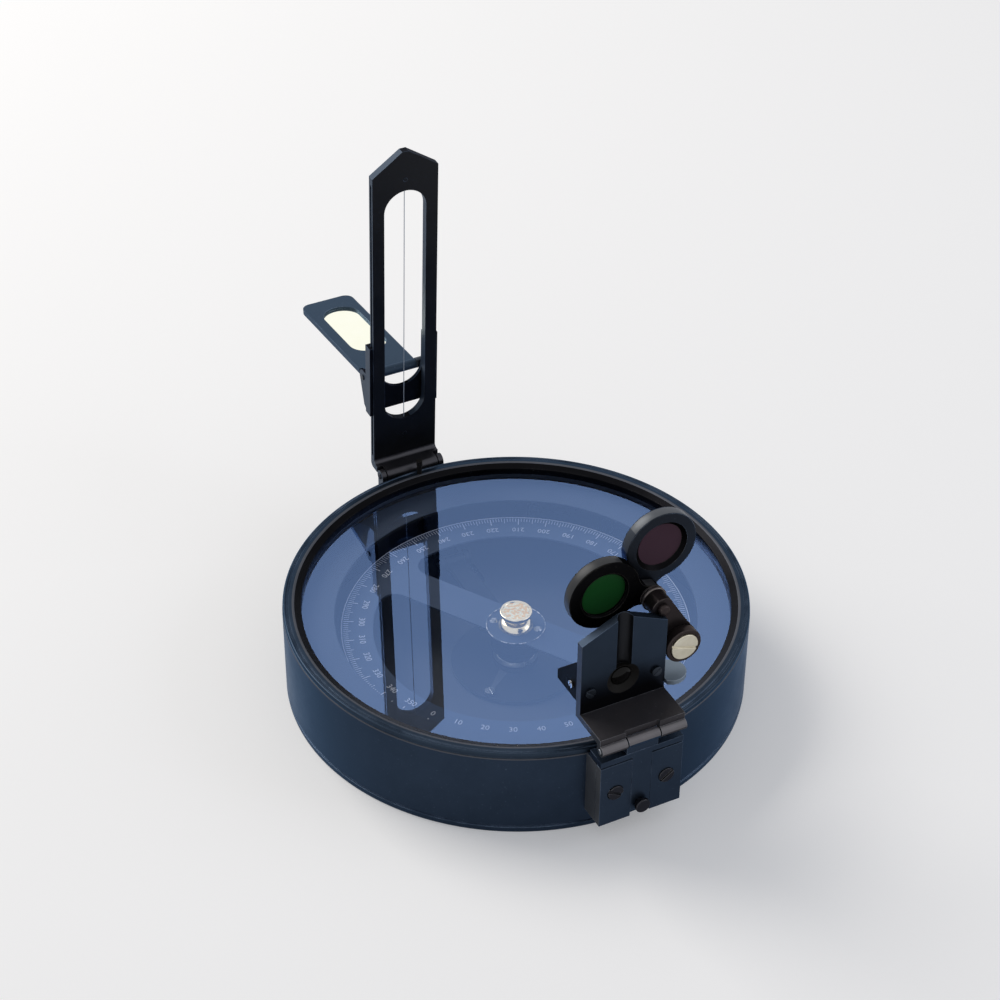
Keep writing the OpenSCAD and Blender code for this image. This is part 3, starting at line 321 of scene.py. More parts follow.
def off_axis(middle, axis, centre=(0, 0)):
    """How far each middle lies from a line along an axis. The centre is the line's place
    on the other two axes, in their order."""
    across = [i for i in range(3) if i != "xyz".index(axis)]
    return np.hypot(*(middle[:, across] - centre).T)


def paint_faces(piece, finish, choose):
    """Give a second finish to the faces that the choice takes by their middle, m, in
    millimetres and their normal, n."""
    count = len(piece.data.polygons)
    middle, normal = np.empty(3 * count), np.empty(3 * count)
    piece.data.polygons.foreach_get("center", middle)
    piece.data.polygons.foreach_get("normal", normal)
    slots = np.empty(count, np.int32)
    piece.data.polygons.foreach_get("material_index", slots)
    chosen = choose(middle.reshape(-1, 3) / MM, normal.reshape(-1, 3))
    slots[chosen] = len(piece.data.materials)
    piece.data.materials.append(finish)
    piece.data.polygons.foreach_set("material_index", slots)


# Dull black that hides the space between the shelf and the floor.
inside_black = matt_paint("matt black inside paint", "#1a1b1e", "#232528")
# Soft grey, which the film of the glass turns blue.
floor_paint = matt_paint("matt grey floor paint", "#42464c", "#50545b")
# A cooler, bluer grey, so that the shelf stands out from the floor.
shelf_paint = matt_paint("matt blue-grey dial paint", "#434e60", "#4d596c")
paint_faces(shell, inside_black, lambda m, n: (
    off_axis(m, "z") < bore_r + 0.05) & (m[:, 2] > floor_top - 0.2))
paint_faces(shell, floor_paint, lambda m, n: (
    off_axis(m, "z") < bore_r - 0.8) & (np.abs(m[:, 2] - floor_top) < 0.2))
paint_faces(shell, shelf_paint, lambda m, n: (
    off_axis(m, "z") < bore_r) & (m[:, 2] > shelf_top - 0.25))

# Bezel
# A ring screwed into the wall over the glass. Its mouth is a black funnel down to the
# glass, its top has a lip and a groove, and a pale joint line parts it from the wall.
# Lip and joint line are painted pale, partly as worn enamel, partly as painted highlight.
mouth_r = 50.5
funnel_r = 52.2
lip_r = 52.7
bezel_top = 23.5
glass_top = 21.15

# A little glossier than the wall, so the ring draws thin bright lines round the glass.
bezel_enamel = enamel("turned enamel ring", ("#222b37", "#2e3947"), "#5d6a7d",
                      rough=0.3, edge=0.15)
# Black with a soft shine: a dark band between the ring and the glass.
mouth_enamel = enamel("gloss black mouth enamel", ("#0a0a0c", "#101013"), "#2c2c2e",
                      rough=0.24, tint="#eef3ff")
# A dull grey-brown line: partly enamel rubbed thin, partly a painted highlight on a round.
rubbed_highlight_line = enamel("brown rim, rubbed and painted with highlight", ("#464950", "#5b5e66"), "#83868c",
                   rough=0.38, tint="#b4bac6", lustre=0.4)
bezel_profile = np.concatenate([
    [[mouth_r, glass_top], [51.55, glass_top], [51.55, wall_top + 0.02]],
    [[54.45, wall_top + 0.02], [54.5, 22.4], [54.8, 22.4], [54.93, 22.5]],
    arc((54.43, bezel_top - 0.5), 0.5, 0, 90, 8),
    [[54.3, 23.48], [54.15, 23.3], [53.75, 23.3], [53.6, 23.46], [53.3, bezel_top]],
    [[52.75, bezel_top], [52.35, 23.46], [52.15, 23.36]],
    [[50.8, 22.9], [50.62, 22.82], [mouth_r, 22.6]],
])
ring = place(lathe("bezel_ring", bezel_profile, turns=384), "case", bezel_enamel, "bezel")
paint_faces(ring, mouth_enamel, lambda m, n: off_axis(m, "z") < funnel_r)
# The round of the lip is painted pale: worn enamel and painted highlight.
paint_faces(ring, rubbed_highlight_line, lambda m, n: (
    off_axis(m, "z") > funnel_r) & (off_axis(m, "z") < lip_r) & (m[:, 2] > bezel_top - 0.5))
# The round at the top of the wall is painted pale: worn enamel and painted highlight.
paint_faces(shell, rubbed_highlight_line, lambda m, n: (
    off_axis(m, "z") > case_r - wall_round) & (m[:, 2] > wall_top - 0.35))

# Glass
# A flat disc of crown glass with a blue anti-glare film on its upper face, set in a
# ring of soft rubber under the bezel.
glass_r = 51.6
glass_bottom = 19.15
glass_edge = 0.2

# The film mirrors the bright room in blue and lets the card show through. It mirrors a
# little more at the front: a painted brightening for the light that falls on the front of the
# floor.
film, tree, out = material("blue coated glass")
clear = add(tree, "BsdfTransparent", {"Color": linear("#ffffff")})
mirror = add(tree, "BsdfPrincipled", {
    "Base Color": linear("#94bbfe"), "Metallic": 1.0, "Roughness": 0.012})
where = add(tree, "TexCoord").outputs["Object"]
along = add(tree, "SeparateXYZ", {0: where}).outputs[1]
# More mirror towards the front: painted light.
front_brightening = add(tree, "MapRange", {
    "Value": along, "From Min": -45 * MM, "From Max": 40 * MM,
    "To Min": 0.3, "To Max": 0.245})
coat = add(tree, "MixShader", {
    0: front_brightening.outputs[0], 1: clear.outputs[0], 2: mirror.outputs[0]})
tree.links.new(coat.outputs[0], out.inputs["Surface"])

# The lower face and the edge are quite clear, so the glass has a single reflection.
bare, tree, out = material("bare underside of the glass")
clear = add(tree, "BsdfTransparent", {"Color": linear("#ffffff")})
tree.links.new(clear.outputs[0], out.inputs["Surface"])
glass_profile = [
    [0, glass_bottom], [glass_r - glass_edge, glass_bottom],
    [glass_r, glass_bottom + glass_edge], [glass_r, glass_top - glass_edge],
    [glass_r - glass_edge, glass_top], [0, glass_top],
]
window = lathe("window_glass", glass_profile, turns=256)
place(window, "case", bare, "glass")
paint_faces(window, film, lambda m, n: n[:, 2] > 0.9)


def carry_over(finish, *names):
    """Give CAD nodes that keep their shape their finish."""
    for name in names:
        nodes[name].data.materials.clear()
        nodes[name].data.materials.append(finish)


def softened(name, node, body, finish, edge=0.12, smooth=28, segments=2):
    """A copy of a node's mesh whose sharp edges are broken by a small round, as a file
    or a tumbling barrel leaves them. The edge is its width in millimetres."""
    piece = bpy.data.objects.new(name, nodes[node].data.copy())
    piece.data.materials.clear()
    work = bmesh.new()
    work.from_mesh(piece.data)
    bmesh.ops.remove_doubles(work, verts=work.verts, dist=2e-6)
    bmesh.ops.dissolve_limit(
        work, angle_limit=math.radians(0.6), verts=work.verts, edges=work.edges)
    work.to_mesh(piece.data)
    work.free()
    place(piece, body, finish, node, smooth=smooth)
    bevel = piece.modifiers.new("broken edge", "BEVEL")
    bevel.width = edge * MM
    bevel.segments = segments
    bevel.limit_method = "ANGLE"
    bevel.angle_limit = math.radians(smooth)
    bevel.use_clamp_overlap = True
    even = piece.modifiers.new("even shading", "WEIGHTED_NORMAL")
    even.keep_sharp = True
    return piece


def clouded(name, dark, pale, size, surface, detail=2.0):
    """A finish that drifts between two tones in clouds of a size in millimetres. The
    surface fills the shader's own sockets."""
    made, tree, out = material(name)
    where = add(tree, "TexCoord").outputs["Object"]
    cloud = add(tree, "TexNoise", {"Vector": where, "Scale": per(size), "Detail": detail})
    shade = add(tree, "MixRGB", {0: cloud.outputs[0], 1: linear(dark), 2: linear(pale)})
    shader = add(tree, "BsdfPrincipled", {"Base Color": shade.outputs[0], **surface})
    tree.links.new(shader.outputs[0], out.inputs["Surface"])
    return made


# Dull black with a chalky speckle, a soft seat that catches no light.
rubber = clouded("black gasket rubber", "#141414", "#262626", 0.667, {"Roughness": 0.7})
carry_over(rubber, "glass_gasket")


# Pivot and tripod socket
# A brass bush with its flange screwed to the floor, and a brass post with a hardened
# steel point that carries the card.
def metal(name, colour, dark, rough=0.32):
    """Machined metal: a thin tarnish in clouds of 4 mm between two tones, and tool
    lines 0.05 mm deep, drawn 0.4 mm apart, because the real ones are too fine to show."""
    made, tree, out = material(name)
    where = add(tree, "TexCoord").outputs["Object"]
    cloud = add(tree, "TexNoise", {
        "Vector": where, "Scale": per(3.85), "Detail": 4.0, "Roughness": 0.6})
    lines = add(tree, "TexNoise", {
        "Vector": where, "Scale": per(0.4), "Detail": 6.0, "Roughness": 0.7})
    shade = add(tree, "MixRGB", {0: cloud.outputs[0], 1: linear(dark), 2: linear(colour)})
    gloss = add(tree, "MapRange", {
        "Value": cloud.outputs[0], "From Min": 0.3, "From Max": 0.7,
        "To Min": rough + 0.1, "To Max": rough - 0.06})
    bump = add(tree, "Bump", {
        "Height": lines.outputs[0], "Strength": 0.3, "Distance": 0.05 * MM})
    shader = add(tree, "BsdfPrincipled", {
        "Base Color": shade.outputs[0], "Metallic": 1.0, "Roughness": gloss.outputs[0],
        "Normal": bump.outputs[0]})
    tree.links.new(shader.outputs[0], out.inputs["Surface"])
    return made


# Yellow brass with a brown tarnish in patches.
brass = metal("turned brass", "#b79a5e", "#7d6636")
# Cool grey steel that glints on its edges.
steel = metal("bright steel", "#a9adb3", "#6e737a", rough=0.28)
# Nearly black, with a blunt metal sheen.
blackened = metal("blackened brass", "#23272f", "#14171c", rough=0.42)
carry_over(brass, "slide_spring", "dip_weight")
carry_over(steel, "bush_screws", "pivot_pin", "stand_screws", "lever_pin")
carry_over(blackened, "pivot_post", "lever_stand", "lifting_lever", "brake_post",
           "lever_spring", "brake_spring", "magnetic_needle")

# The flange takes the floor's paint, the thread stays dark and the lead-in of the boss
# is bare metal.
thread_r = 5.4
boss_chamfer_z = 5.2
socket = softened("tripod_socket", "tripod_bush", "case", floor_paint, edge=0.1)
paint_faces(socket, inside_black, lambda m, n: off_axis(m, "z") < thread_r)
paint_faces(socket, steel, lambda m, n: (
    m[:, 2] > boss_chamfer_z) & (n[:, 2] > 0.2) & (n[:, 2] < 0.95))

# Card
# A stamped aluminium ring on a cross bar, painted matt blue-grey. The degrees are
# printed in pale ink, with a long stroke and a number at every ten.
card_top = 14.2
card_r = 41.5
zero_angle = math.radians(-148)

# Flat blue-grey, a shade lighter than the floor, so ring and bar stand out softly.
card_paint = matt_paint("matt card paint", "#465369", "#505e75")
softened("card_plate", "card_ring", "card", card_paint, edge=0.06, smooth=20)

# Pale, faintly uneven ink, which reads as print and not as light.
ink = clouded("pale printing ink", "#b4c1da", "#e0e6f2", 1.11, {"Roughness": 0.6}, detail=3.0)

# A stroke is a block that runs inwards from one circle and starts 0.01 mm in the paint.
stroke_out = 41.0
ten_in, five_in, one_in = 38.6, 39.2, 39.8
ten_half, one_half = 0.11, 0.08
ink_sunk = 0.01
ink_thick = 0.04
degree = np.arange(360)
stroke_in = np.where(degree % 10 == 0, ten_in, np.where(degree % 5 == 0, five_in, one_in))
stroke_half = np.where(degree % 10 == 0, ten_half, one_half)
corner = np.array([[0, -1, 0], [1, -1, 0], [1, 1, 0], [0, 1, 0],
                   [0, -1, 1], [1, -1, 1], [1, 1, 1], [0, 1, 1]])
block_faces = np.array([[0, 3, 2, 1], [4, 5, 6, 7], [0, 1, 5, 4],
                        [1, 2, 6, 5], [2, 3, 7, 6], [3, 0, 4, 7]])
reach = stroke_in[:, None] + (stroke_out - stroke_in[:, None]) * corner[None, :, 0]
across = stroke_half[:, None] * corner[None, :, 1]
angle = zero_angle + np.radians(degree)[:, None]
strokes = np.stack([
    reach * np.cos(angle) - across * np.sin(angle),
    reach * np.sin(angle) + across * np.cos(angle),
    card_top - ink_sunk + ink_thick * np.broadcast_to(corner[None, :, 2], reach.shape),
], -1)
stroke_faces = block_faces[None] + len(corner) * degree[:, None, None]
mesh = bpy.data.meshes.new("card_strokes")
mesh.from_pydata(strokes.reshape(-1, 3) * MM, [], stroke_faces.reshape(-1, 4).tolist())
place(bpy.data.objects.new("card_strokes", mesh), "card", ink)

# The numbers stand on a circle inside the strokes, with their heads inwards, so that
# the prism reads them upright.
number_r = 36.7
number_size = 2.1
number_lift = 0.005
points, polygons, offset = [], [], 0
for value in range(0, 360, 10):
    curve = bpy.data.curves.new("number", "FONT")
    curve.body = str(value)
    curve.size = number_size
    curve.align_x = "CENTER"
    curve.align_y = "CENTER"
    curve.extrude = ink_thick / 2
    curve.resolution_u = 3
    text = bpy.data.objects.new("number", curve)
    scene.collection.objects.link(text)
    bpy.context.view_layer.update()
    graph = bpy.context.evaluated_depsgraph_get()
    flat_mesh = bpy.data.meshes.new_from_object(text.evaluated_get(graph))
    flat_points = np.empty(3 * len(flat_mesh.vertices))
    flat_mesh.vertices.foreach_get("co", flat_points)
    flat_points = flat_points.reshape(-1, 3)
    turn = zero_angle + math.radians(value)
    outward = np.array([math.cos(turn), math.sin(turn), 0])
    sideways = np.array([-math.sin(turn), math.cos(turn), 0])
    spot = flat_points[:, :1] * sideways + (number_r - flat_points[:, 1:2]) * outward
    spot[:, 2] = card_top + number_lift + flat_points[:, 2]
    points.append(spot)
    polygons += [[v + offset for v in polygon.vertices] for polygon in flat_mesh.polygons]
    offset += len(spot)
    bpy.data.objects.remove(text)
    bpy.data.curves.remove(curve)
    bpy.data.meshes.remove(flat_mesh)
mesh = bpy.data.meshes.new("card_numbers")
mesh.from_pydata(np.concatenate(points) * MM, [], polygons)
numbers = bpy.data.objects.new("card_numbers", mesh)
tidy_mesh(numbers)
place(numbers, "card", ink)

# The rolled outer lip of the ring is drawn in the pale ink: a painted highlight, a thin bright
# line.
lip = arc((card_r - 0.06, card_top), 0.12, -60, 240, 10)
place(lathe("card_lip", lip, turns=256), "card", ink)

# Cap, with its jewel
# A two-step cap turned from brass and plated, with a stippled top that shines warm,
# a polished rim, a narrow waist and a polished lower flange.
cap_top = 18.6

# A warm white mirror, softly clouded, with long bright glints on its rounds.
plate = clouded("polished nickel plate", "#f4e2b2", "#fff6da", 2.0,
                {"Metallic": 1.0, "Roughness": 0.2}, detail=3.0)
cap_profile = np.concatenate([
    [[0, 13.0], [3.2, 13.0], [3.2, 13.7], [2.2, 13.7], [2.2, card_top]],
    [[4.1, card_top], [4.25, 14.35], [4.2, 14.55], [3.9, 15.1], [3.55, 15.6], [3.2, 15.9]],
    [[2.8, 16.05], [2.5, 16.1], [2.5, 17.2], [3.4, 17.45]],
    arc((3.65, 17.85), 0.25, -70, 0, 4), arc((3.6, cap_top - 0.3), 0.3, 0, 90, 6),
    [[3.2, cap_top], [3.05, cap_top - 0.22], [0, cap_top - 0.22]],
])
place(lathe("cap_body", cap_profile, turns=128), "card", plate, "cap", "cap_jewel", smooth=40)

# Pits of 0.75 mm with gold in them between paler ridges: the pale ridges are a painted
# sparkle.
stipple, tree, out = material("stippled warm plate")
where = add(tree, "TexCoord").outputs["Object"]
pits = add(tree, "TexVoronoi", {"Vector": where, "Scale": per(0.75), "Randomness": 1.0})
depth = pits.outputs["Distance"]
ramp = add(tree, "MapRange", {"Value": depth, "From Min": 0.46, "From Max": 0.62})
shade = add(tree, "MixRGB", {0: ramp.outputs[0], 1: linear("#ffd892"), 2: linear("#fff9dc")})
bump = add(tree, "Bump", {"Height": depth, "Strength": 0.25, "Distance": 0.03 * MM})
shader = add(tree, "BsdfPrincipled", {
    "Base Color": shade.outputs[0], "Metallic": 1.0, "Roughness": 0.22,
    "Normal": bump.outputs[0]})
tree.links.new(shader.outputs[0], out.inputs["Surface"])
face_profile = [
    [0, cap_top - 0.3], [3.1, cap_top - 0.3], [3.1, cap_top - 0.2], [2.2, cap_top - 0.12],
    [1.2, cap_top - 0.08], [0, cap_top - 0.07],
]
place(lathe("cap_face", face_profile, turns=96), "card", stipple, smooth=60)
carry_over(steel, "card_rivets")

# The edge of the hub carries a broken pale ring: glints painted on in patches.
hub_r = 7.1
hub_glints, tree, out = material("hub edge with painted glints")
where = add(tree, "TexCoord").outputs["Object"]
cloud = add(tree, "TexNoise", {
    "Vector": where, "Scale": per(1.54), "Detail": 3.0, "Roughness": 0.7})
bright = add(tree, "MapRange", {"Value": cloud.outputs[0], "From Min": 0.46, "From Max": 0.58})
shade = add(tree, "MixRGB", {0: bright.outputs[0], 1: linear("#56647a"), 2: linear("#f4f6fa")})
shader = add(tree, "BsdfPrincipled", {"Base Color": shade.outputs[0], "Roughness": 0.45})
tree.links.new(shader.outputs[0], out.inputs["Surface"])
lip = arc((hub_r - 0.1, card_top), 0.14, -60, 240, 8)
place(lathe("hub_lip", lip, turns=128), "card", hub_glints, smooth=60)

# Sight vane and its hinge
# A flat brass blade with a long slot, cranked at its foot into the hinge knuckle and
# enamelled black, and the bracket with two screws that holds it to the case.
vane_edge_x = -8.0
foot_top = 28.0

# Neutral black with a satin face, so the blade reads as a dark outline.
vane_enamel = enamel("black sight enamel", ("#222326", "#2b2c2f"), "#4f5b6d",
                     rough=0.34, edge=0.18, tint="#8a93a4")
# Blue-grey and paler: the sides that face the light on the left are painted lighter, a painted
# light.
lit_flank_enamel = enamel("enamel painted lighter on the lit side", ("#2a3340", "#35404e"), "#6f7f96",
                     rough=0.4, shine=0.2, lustre=0.2)
# Grey, partly where the moving knuckles have rubbed and partly a painted highlight, with a
# soft painted highlight along each round.
hinge_wear_and_highlight = enamel("hinge enamel, rubbed and painted with highlight", ("#38383c", "#47474c"), "#6a6d73",
                      rough=0.34, edge=0.2, tint="#98a0ae")
blade = softened("vane_blade", "sight_vane", "vane", vane_enamel, edge=0.22, segments=3)
# The blade's left side and the faces by it are painted lighter: painted light.
paint_faces(blade, lit_flank_enamel, lambda m, n: (n[:, 0] < -0.3) | (m[:, 0] < vane_edge_x))
# The foot of the blade is painted hinge grey: wear and painted highlight.
paint_faces(blade, hinge_wear_and_highlight, lambda m, n: m[:, 2] < foot_top)
# The bracket takes the hinge grey: wear and painted highlight.
ears = softened("vane_hinge_bracket", "vane_bracket", "case", hinge_wear_and_highlight, edge=0.15)
# The ears' left sides are painted lighter: painted light.
paint_faces(ears, lit_flank_enamel, lambda m, n: (n[:, 0] < -0.5) & (m[:, 0] < vane_edge_x))
softened("vane_screws", "vane_bracket_screws", "case", vane_enamel, edge=0.08)
# The pin takes the hinge grey: wear and painted highlight.
softened("vane_pin", "vane_hinge_pin", "case", hinge_wear_and_highlight, edge=0.15)

# A grey wire that stays fine and even against both dark and light.
hair = clouded("dark hair wire", "#8e98a5", "#aab3bf", 1.43,
               {"Roughness": 0.5, "Metallic": 0.5})
carry_over(hair, "hair_line")
softened("hair_pegs", "hair_pins", "vane", vane_enamel, edge=0.06)

# Mirror and its slider
# A sleeve bent from sheet that slides on the vane, with a lug for the mirror's pin.
# The mirror is silvered glass in a round-cornered frame with a thin plate behind it.

# Deeper black than the blade, so the sleeve shows as a band across it.
slide_enamel = enamel("satin black slide enamel", ("#131418", "#1b1c20"), "#58657a",
                      rough=0.4, tint="#7f93b4")
# Slate blue that lies open to the light, with soft pale edges.
frame_enamel = enamel("satin blue frame enamel", ("#2e3a49", "#3a4857"), "#7f90a8",
                      rough=0.42, lustre=0.5)
# Dark blue-grey with a narrow metal glint on pins and collars.
blued = metal("blued steel", "#3f4650", "#23272e", rough=0.34)
sleeve = softened("slider_sleeve", "mirror_slider", "slider", slide_enamel)
# The sleeve's left side is painted lighter: painted light.
paint_faces(sleeve, lit_flank_enamel, lambda m, n: n[:, 0] < -0.3)
softened("mirror_pin", "mirror_hinge_pin", "slider", blued)
softened("mirror_collar", "mirror_spacer", "slider", blued, edge=0.1)
softened("mirror_surround", "mirror_frame", "mirror", frame_enamel, edge=0.2, segments=3)
softened("mirror_plate", "mirror_back", "mirror", slide_enamel, edge=0.06)

# A clean mirror with a breath of yellow, which shows the bright room nearly white.
silver = clouded("silvered mirror glass", "#fbfbe6", "#fffff2", 5.56,
                 {"Metallic": 1.0, "Roughness": 0.03}, detail=3.0)
carry_over(silver, "mirror_glass")

# Focusing block
# A milled block screwed to the wall, closed by two cheeks with slotted screws. The
# slide between them carries the prism and is lifted by a turned stud.
outer_side_x = -10
leaf_axis = (-60.2, 27.96)
barrel_r = 1.3


def on_barrel(m, n):
    """The upper faces of the leaf's hinge barrel: those as far from its pin as its
    radius."""
    return (np.abs(off_axis(m, "x", leaf_axis) - barrel_r) < 0.06) & (n[:, 2] > 0)


# Blue-black, flatter than the case, with pale milled corners.
block_enamel = enamel("milled block enamel", ("#28303d", "#333d4b"), "#66748a", rough=0.38)
# Dull grey-brown on the left sides: painted lighter where the light falls on them.
lit_side_grey = enamel("side enamel painted lighter where lit", ("#44474c", "#54575c"), "#8c8f94",
                     rough=0.42, tint="#a8acb4", lustre=0.3)
rear = softened("block_body", "guide_block", "case", block_enamel)
# The block's left side is painted lighter: painted light.
paint_faces(rear, lit_side_grey, lambda m, n: n[:, 0] < -0.9)
cheek = softened("cheek_left", "left_cheek", "case", block_enamel, edge=0.15)
# The outer side of the left cheek is painted lighter: painted light.
paint_faces(cheek, lit_side_grey, lambda m, n: (n[:, 0] < -0.9) & (m[:, 0] < outer_side_x))
softened("cheek_right", "right_cheek", "case", block_enamel, edge=0.15)

# Black with worn grey rims, so the slotted heads show on the dark cheeks.
screw_black = enamel("blackened screw steel", ("#28282c", "#37373c"), "#8b8c90",
                     rough=0.3, edge=0.1, tint="#8a94a8")
softened("cheek_fixings", "cheek_screws", "case", screw_black, edge=0.1)

# The upper round of the barrel is painted pale: a painted highlight, a pale line along it.
barrel_highlight = enamel("barrel enamel with painted highlight", ("#636164", "#7b797c"), "#a4a5a9",
                       rough=0.34, tint="#c0c4cc", lustre=0.4)
slide = softened("slide_body", "focusing_slide", "focus", block_enamel)
# Painted highlight on the upper round of the slide's barrel.
paint_faces(slide, barrel_highlight, on_barrel)
softened("slide_stud", "focusing_stud", "focus", screw_black, edge=0.15)
softened("leaf_pin", "prism_hinge_pin", "focus", steel)

# Prism and its eye plate
# A leaf and an upright plate cut from one brass angle, with the countersunk eye hole
# and the sighting groove, and behind it the blackened box of the prism.
leaf_top = 31.1
eye_at = (0, 37.6)
eye_r = 4.1
groove_half = 1.92
groove_foot = 40.6
groove_depth_y = -50.85

# Darker and flatter than the plate's face: painted shade on the plate's left side, so its edge
# is a quiet line.
plate_side = enamel("eye plate edge enamel", ("#1f252e", "#2a313c"), "#5a6675",
                    rough=0.38, tint="#8296b2", lustre=0.4)
# Blue-black above, fading to a darker brown below the eye hole.
plate_enamel = enamel("eye plate enamel", ("#252d38", "#2f3845"), "#4c596d",
                      rough=0.33, edge=0.15, darker_below=(33.5, 41.0, "#171618"))
# Warm brown-grey, worn by the thumb, with a broad dull shine.
leaf_enamel = enamel("brown leaf enamel", ("#3c3a3d", "#484649"), "#8a8c92",
                     rough=0.36, tint="#a0a4b0", lustre=0.5)
# Brown-black, which keeps the box in the shade of the plate.
box_enamel = enamel("brown-black box enamel", ("#171311", "#211b18"), "#6a6058",
                    rough=0.32, tint="#8a8078")
# Grey between the leaf's brown and the plate's blue.
leaf_side = enamel("leaf edge enamel", ("#313439", "#3e4146"), "#83868c",
                   rough=0.38, tint="#8c98ac", lustre=0.3)
# Warm black without shine, for the eye hole and other small dark holes: painted shade in them.
mouth_black = matt_paint("brown-black mouth paint", "#070606", "#0e0c0b", rough=0.65)
angle_plate = softened("eye_plate", "prism_bracket", "prism_arm", plate_enamel, edge=0.15)
paint_faces(angle_plate, leaf_enamel, lambda m, n: m[:, 2] < leaf_top)
# Painted highlight on the upper round of the leaf's barrel.
paint_faces(angle_plate, barrel_highlight, on_barrel)
paint_faces(angle_plate, leaf_side, lambda m, n: (n[:, 0] < -0.9) & (m[:, 2] < leaf_top))
# The plate's left side is painted darker: painted shade.
paint_faces(angle_plate, plate_side, lambda m, n: (
    n[:, 0] < -0.9) & (m[:, 0] < outer_side_x) & (m[:, 2] > leaf_top))
# The eye hole's countersink is painted black: painted shade in the hole.
paint_faces(angle_plate, mouth_black, lambda m, n: (
    off_axis(m, "y", eye_at) < eye_r) & (n[:, 1] > -0.9))
paint_faces(angle_plate, vane_enamel, lambda m, n: (
    np.abs(m[:, 0]) < groove_half) & (m[:, 2] > groove_foot) & (m[:, 1] > groove_depth_y))
softened("prism_case", "prism_box", "prism_arm", box_enamel, edge=0.15)
softened("plate_screws", "prism_box_screws", "prism_arm", blued, edge=0.07)
softened("box_side_screws", "prism_side_screws", "prism_arm", steel, edge=0.06)

# Pale blue-grey, the lightest enamel on the compass: a painted reflection of the bright room
# on the tab's upper face.
tab_sky_reflection = enamel("grey tab enamel", ("#707c88", "#808c98"), "#a5afba",
                    rough=0.42, lustre=0.5)
softened("thumb_tab", "lifting_tab", "prism_arm", tab_sky_reflection, edge=0.2)

# Dark and polished: the glass is painted near black, a painted shade for its own black box
# seen through it.
crown = clouded("polished crown glass", "#0c0b0b", "#151312", 5.0,
                {"Roughness": 0.05, "Specular IOR Level": 0.12})
carry_over(crown, "prism")

# Sun glasses
# A black bracket behind the eye plate, screwed and bushed, holds the pivot on which
# the green and the red glass turn, each in a turned frame with a filleted neck.

# Black with warm grey scuffs on its corners. On the green frame and in the red frame's mouth
# the black is a painted shade.
filter_black = enamel("black filter enamel", ("#0a0a0c", "#101012"), "#55534f",
                      rough=0.4, tint="#6a6660")
# Very dark blue that lightens on the face turned to the room.
filter_blue = enamel("dark blue filter enamel", ("#1d2026", "#272b32"), "#6a778a",
                     rough=0.36, tint="#a4b2c8")
# Grey-brown on the rims: painted light where the rims face the light.
rim_light_enamel = enamel("rim enamel painted lighter where lit", ("#34363a", "#4a4a4a"), "#8b8680",
                    rough=0.36, tint="#b8bac0", lustre=0.4)
# Dark brown with a soft shine: the bracket looks warmer than the plate before it.
bracket_brown = enamel("brown bracket enamel", ("#2c2829", "#393435"), "#77726f",
                       rough=0.34, tint="#8a8684")
# The same brown with more gloss, so the bush has a bright round.
bush_brown = enamel("brown bush enamel", ("#2e2929", "#3d3636"), "#8d8784",
                    rough=0.3, tint="#b0a8a4", lustre=0.6)
# Brass gone pale and milky, with a clear slot.
pale_brass = metal("pale brass", "#e2ddcd", "#b4ad99", rough=0.36)
softened("bracket_plate", "filter_bracket", "prism_arm", bracket_brown, edge=0.15)
softened("bracket_fixings", "bracket_screws", "prism_arm", screw_black, edge=0.06)
softened("bush_ring", "bracket_bush", "prism_arm", bush_brown, edge=0.2, segments=3)
softened("bush_screw_head", "brass_screw", "prism_arm", pale_brass, edge=0.18, segments=3)
softened("pivot_rod", "filter_pivot", "prism_arm", blued, edge=0.1)
softened("pivot_nut", "pivot_cap", "prism_arm", screw_black, edge=0.15)

pivot_x = 10.3
pivot_z = 51.9
filter_r = 8.6
neck_r = 2.7
neck_fillet = 4.0
filter_t = 2.8
sight_r = 5.4


def keyhole(arm, count=44):
    """Outline of a filter frame: the round of the lens and the round of the pivot, an
    arm apart, with hollow arcs between them that touch both."""
    near, far = neck_r + neck_fillet, filter_r + neck_fillet
    x = (near**2 - far**2 + arm**2) / (2 * arm)
    y = math.sqrt(near**2 - x**2)
    at_hub = math.degrees(math.atan2(y, x))
    at_lens = math.degrees(math.atan2(y, x - arm))
    upper = arc((x, y), neck_fillet, at_lens - 180, at_hub - 180, count // 2)
    lower = upper[::-1] * [1, -1]
    return np.concatenate([
        arc((0, 0), neck_r, at_hub, 360 - at_hub, count)[:-1],
        lower[:-1],
        arc((arm, 0), filter_r, -at_lens, at_lens, 3 * count)[:-1],
        upper[:-1],
    ])


def holed_plate(outline, hole_at, section):
    """A plate between an outline and a round hole: each row of the section is set in
    from the outline along its normal, or out from the hole's middle, at a depth."""
    ahead = np.roll(outline, -1, 0) - np.roll(outline, 1, 0)
    ahead /= np.linalg.norm(ahead, axis=1)[:, None]
    normal = np.stack([ahead[:, 1], -ahead[:, 0]], -1)
    ray = outline - hole_at
    ray /= np.linalg.norm(ray, axis=1)[:, None]
    return np.stack([
        np.column_stack([outline - inset * normal if edge == "rim" else hole_at + inset * ray,
                         np.full(len(outline), depth)])
        for edge, inset, depth in section
    ])


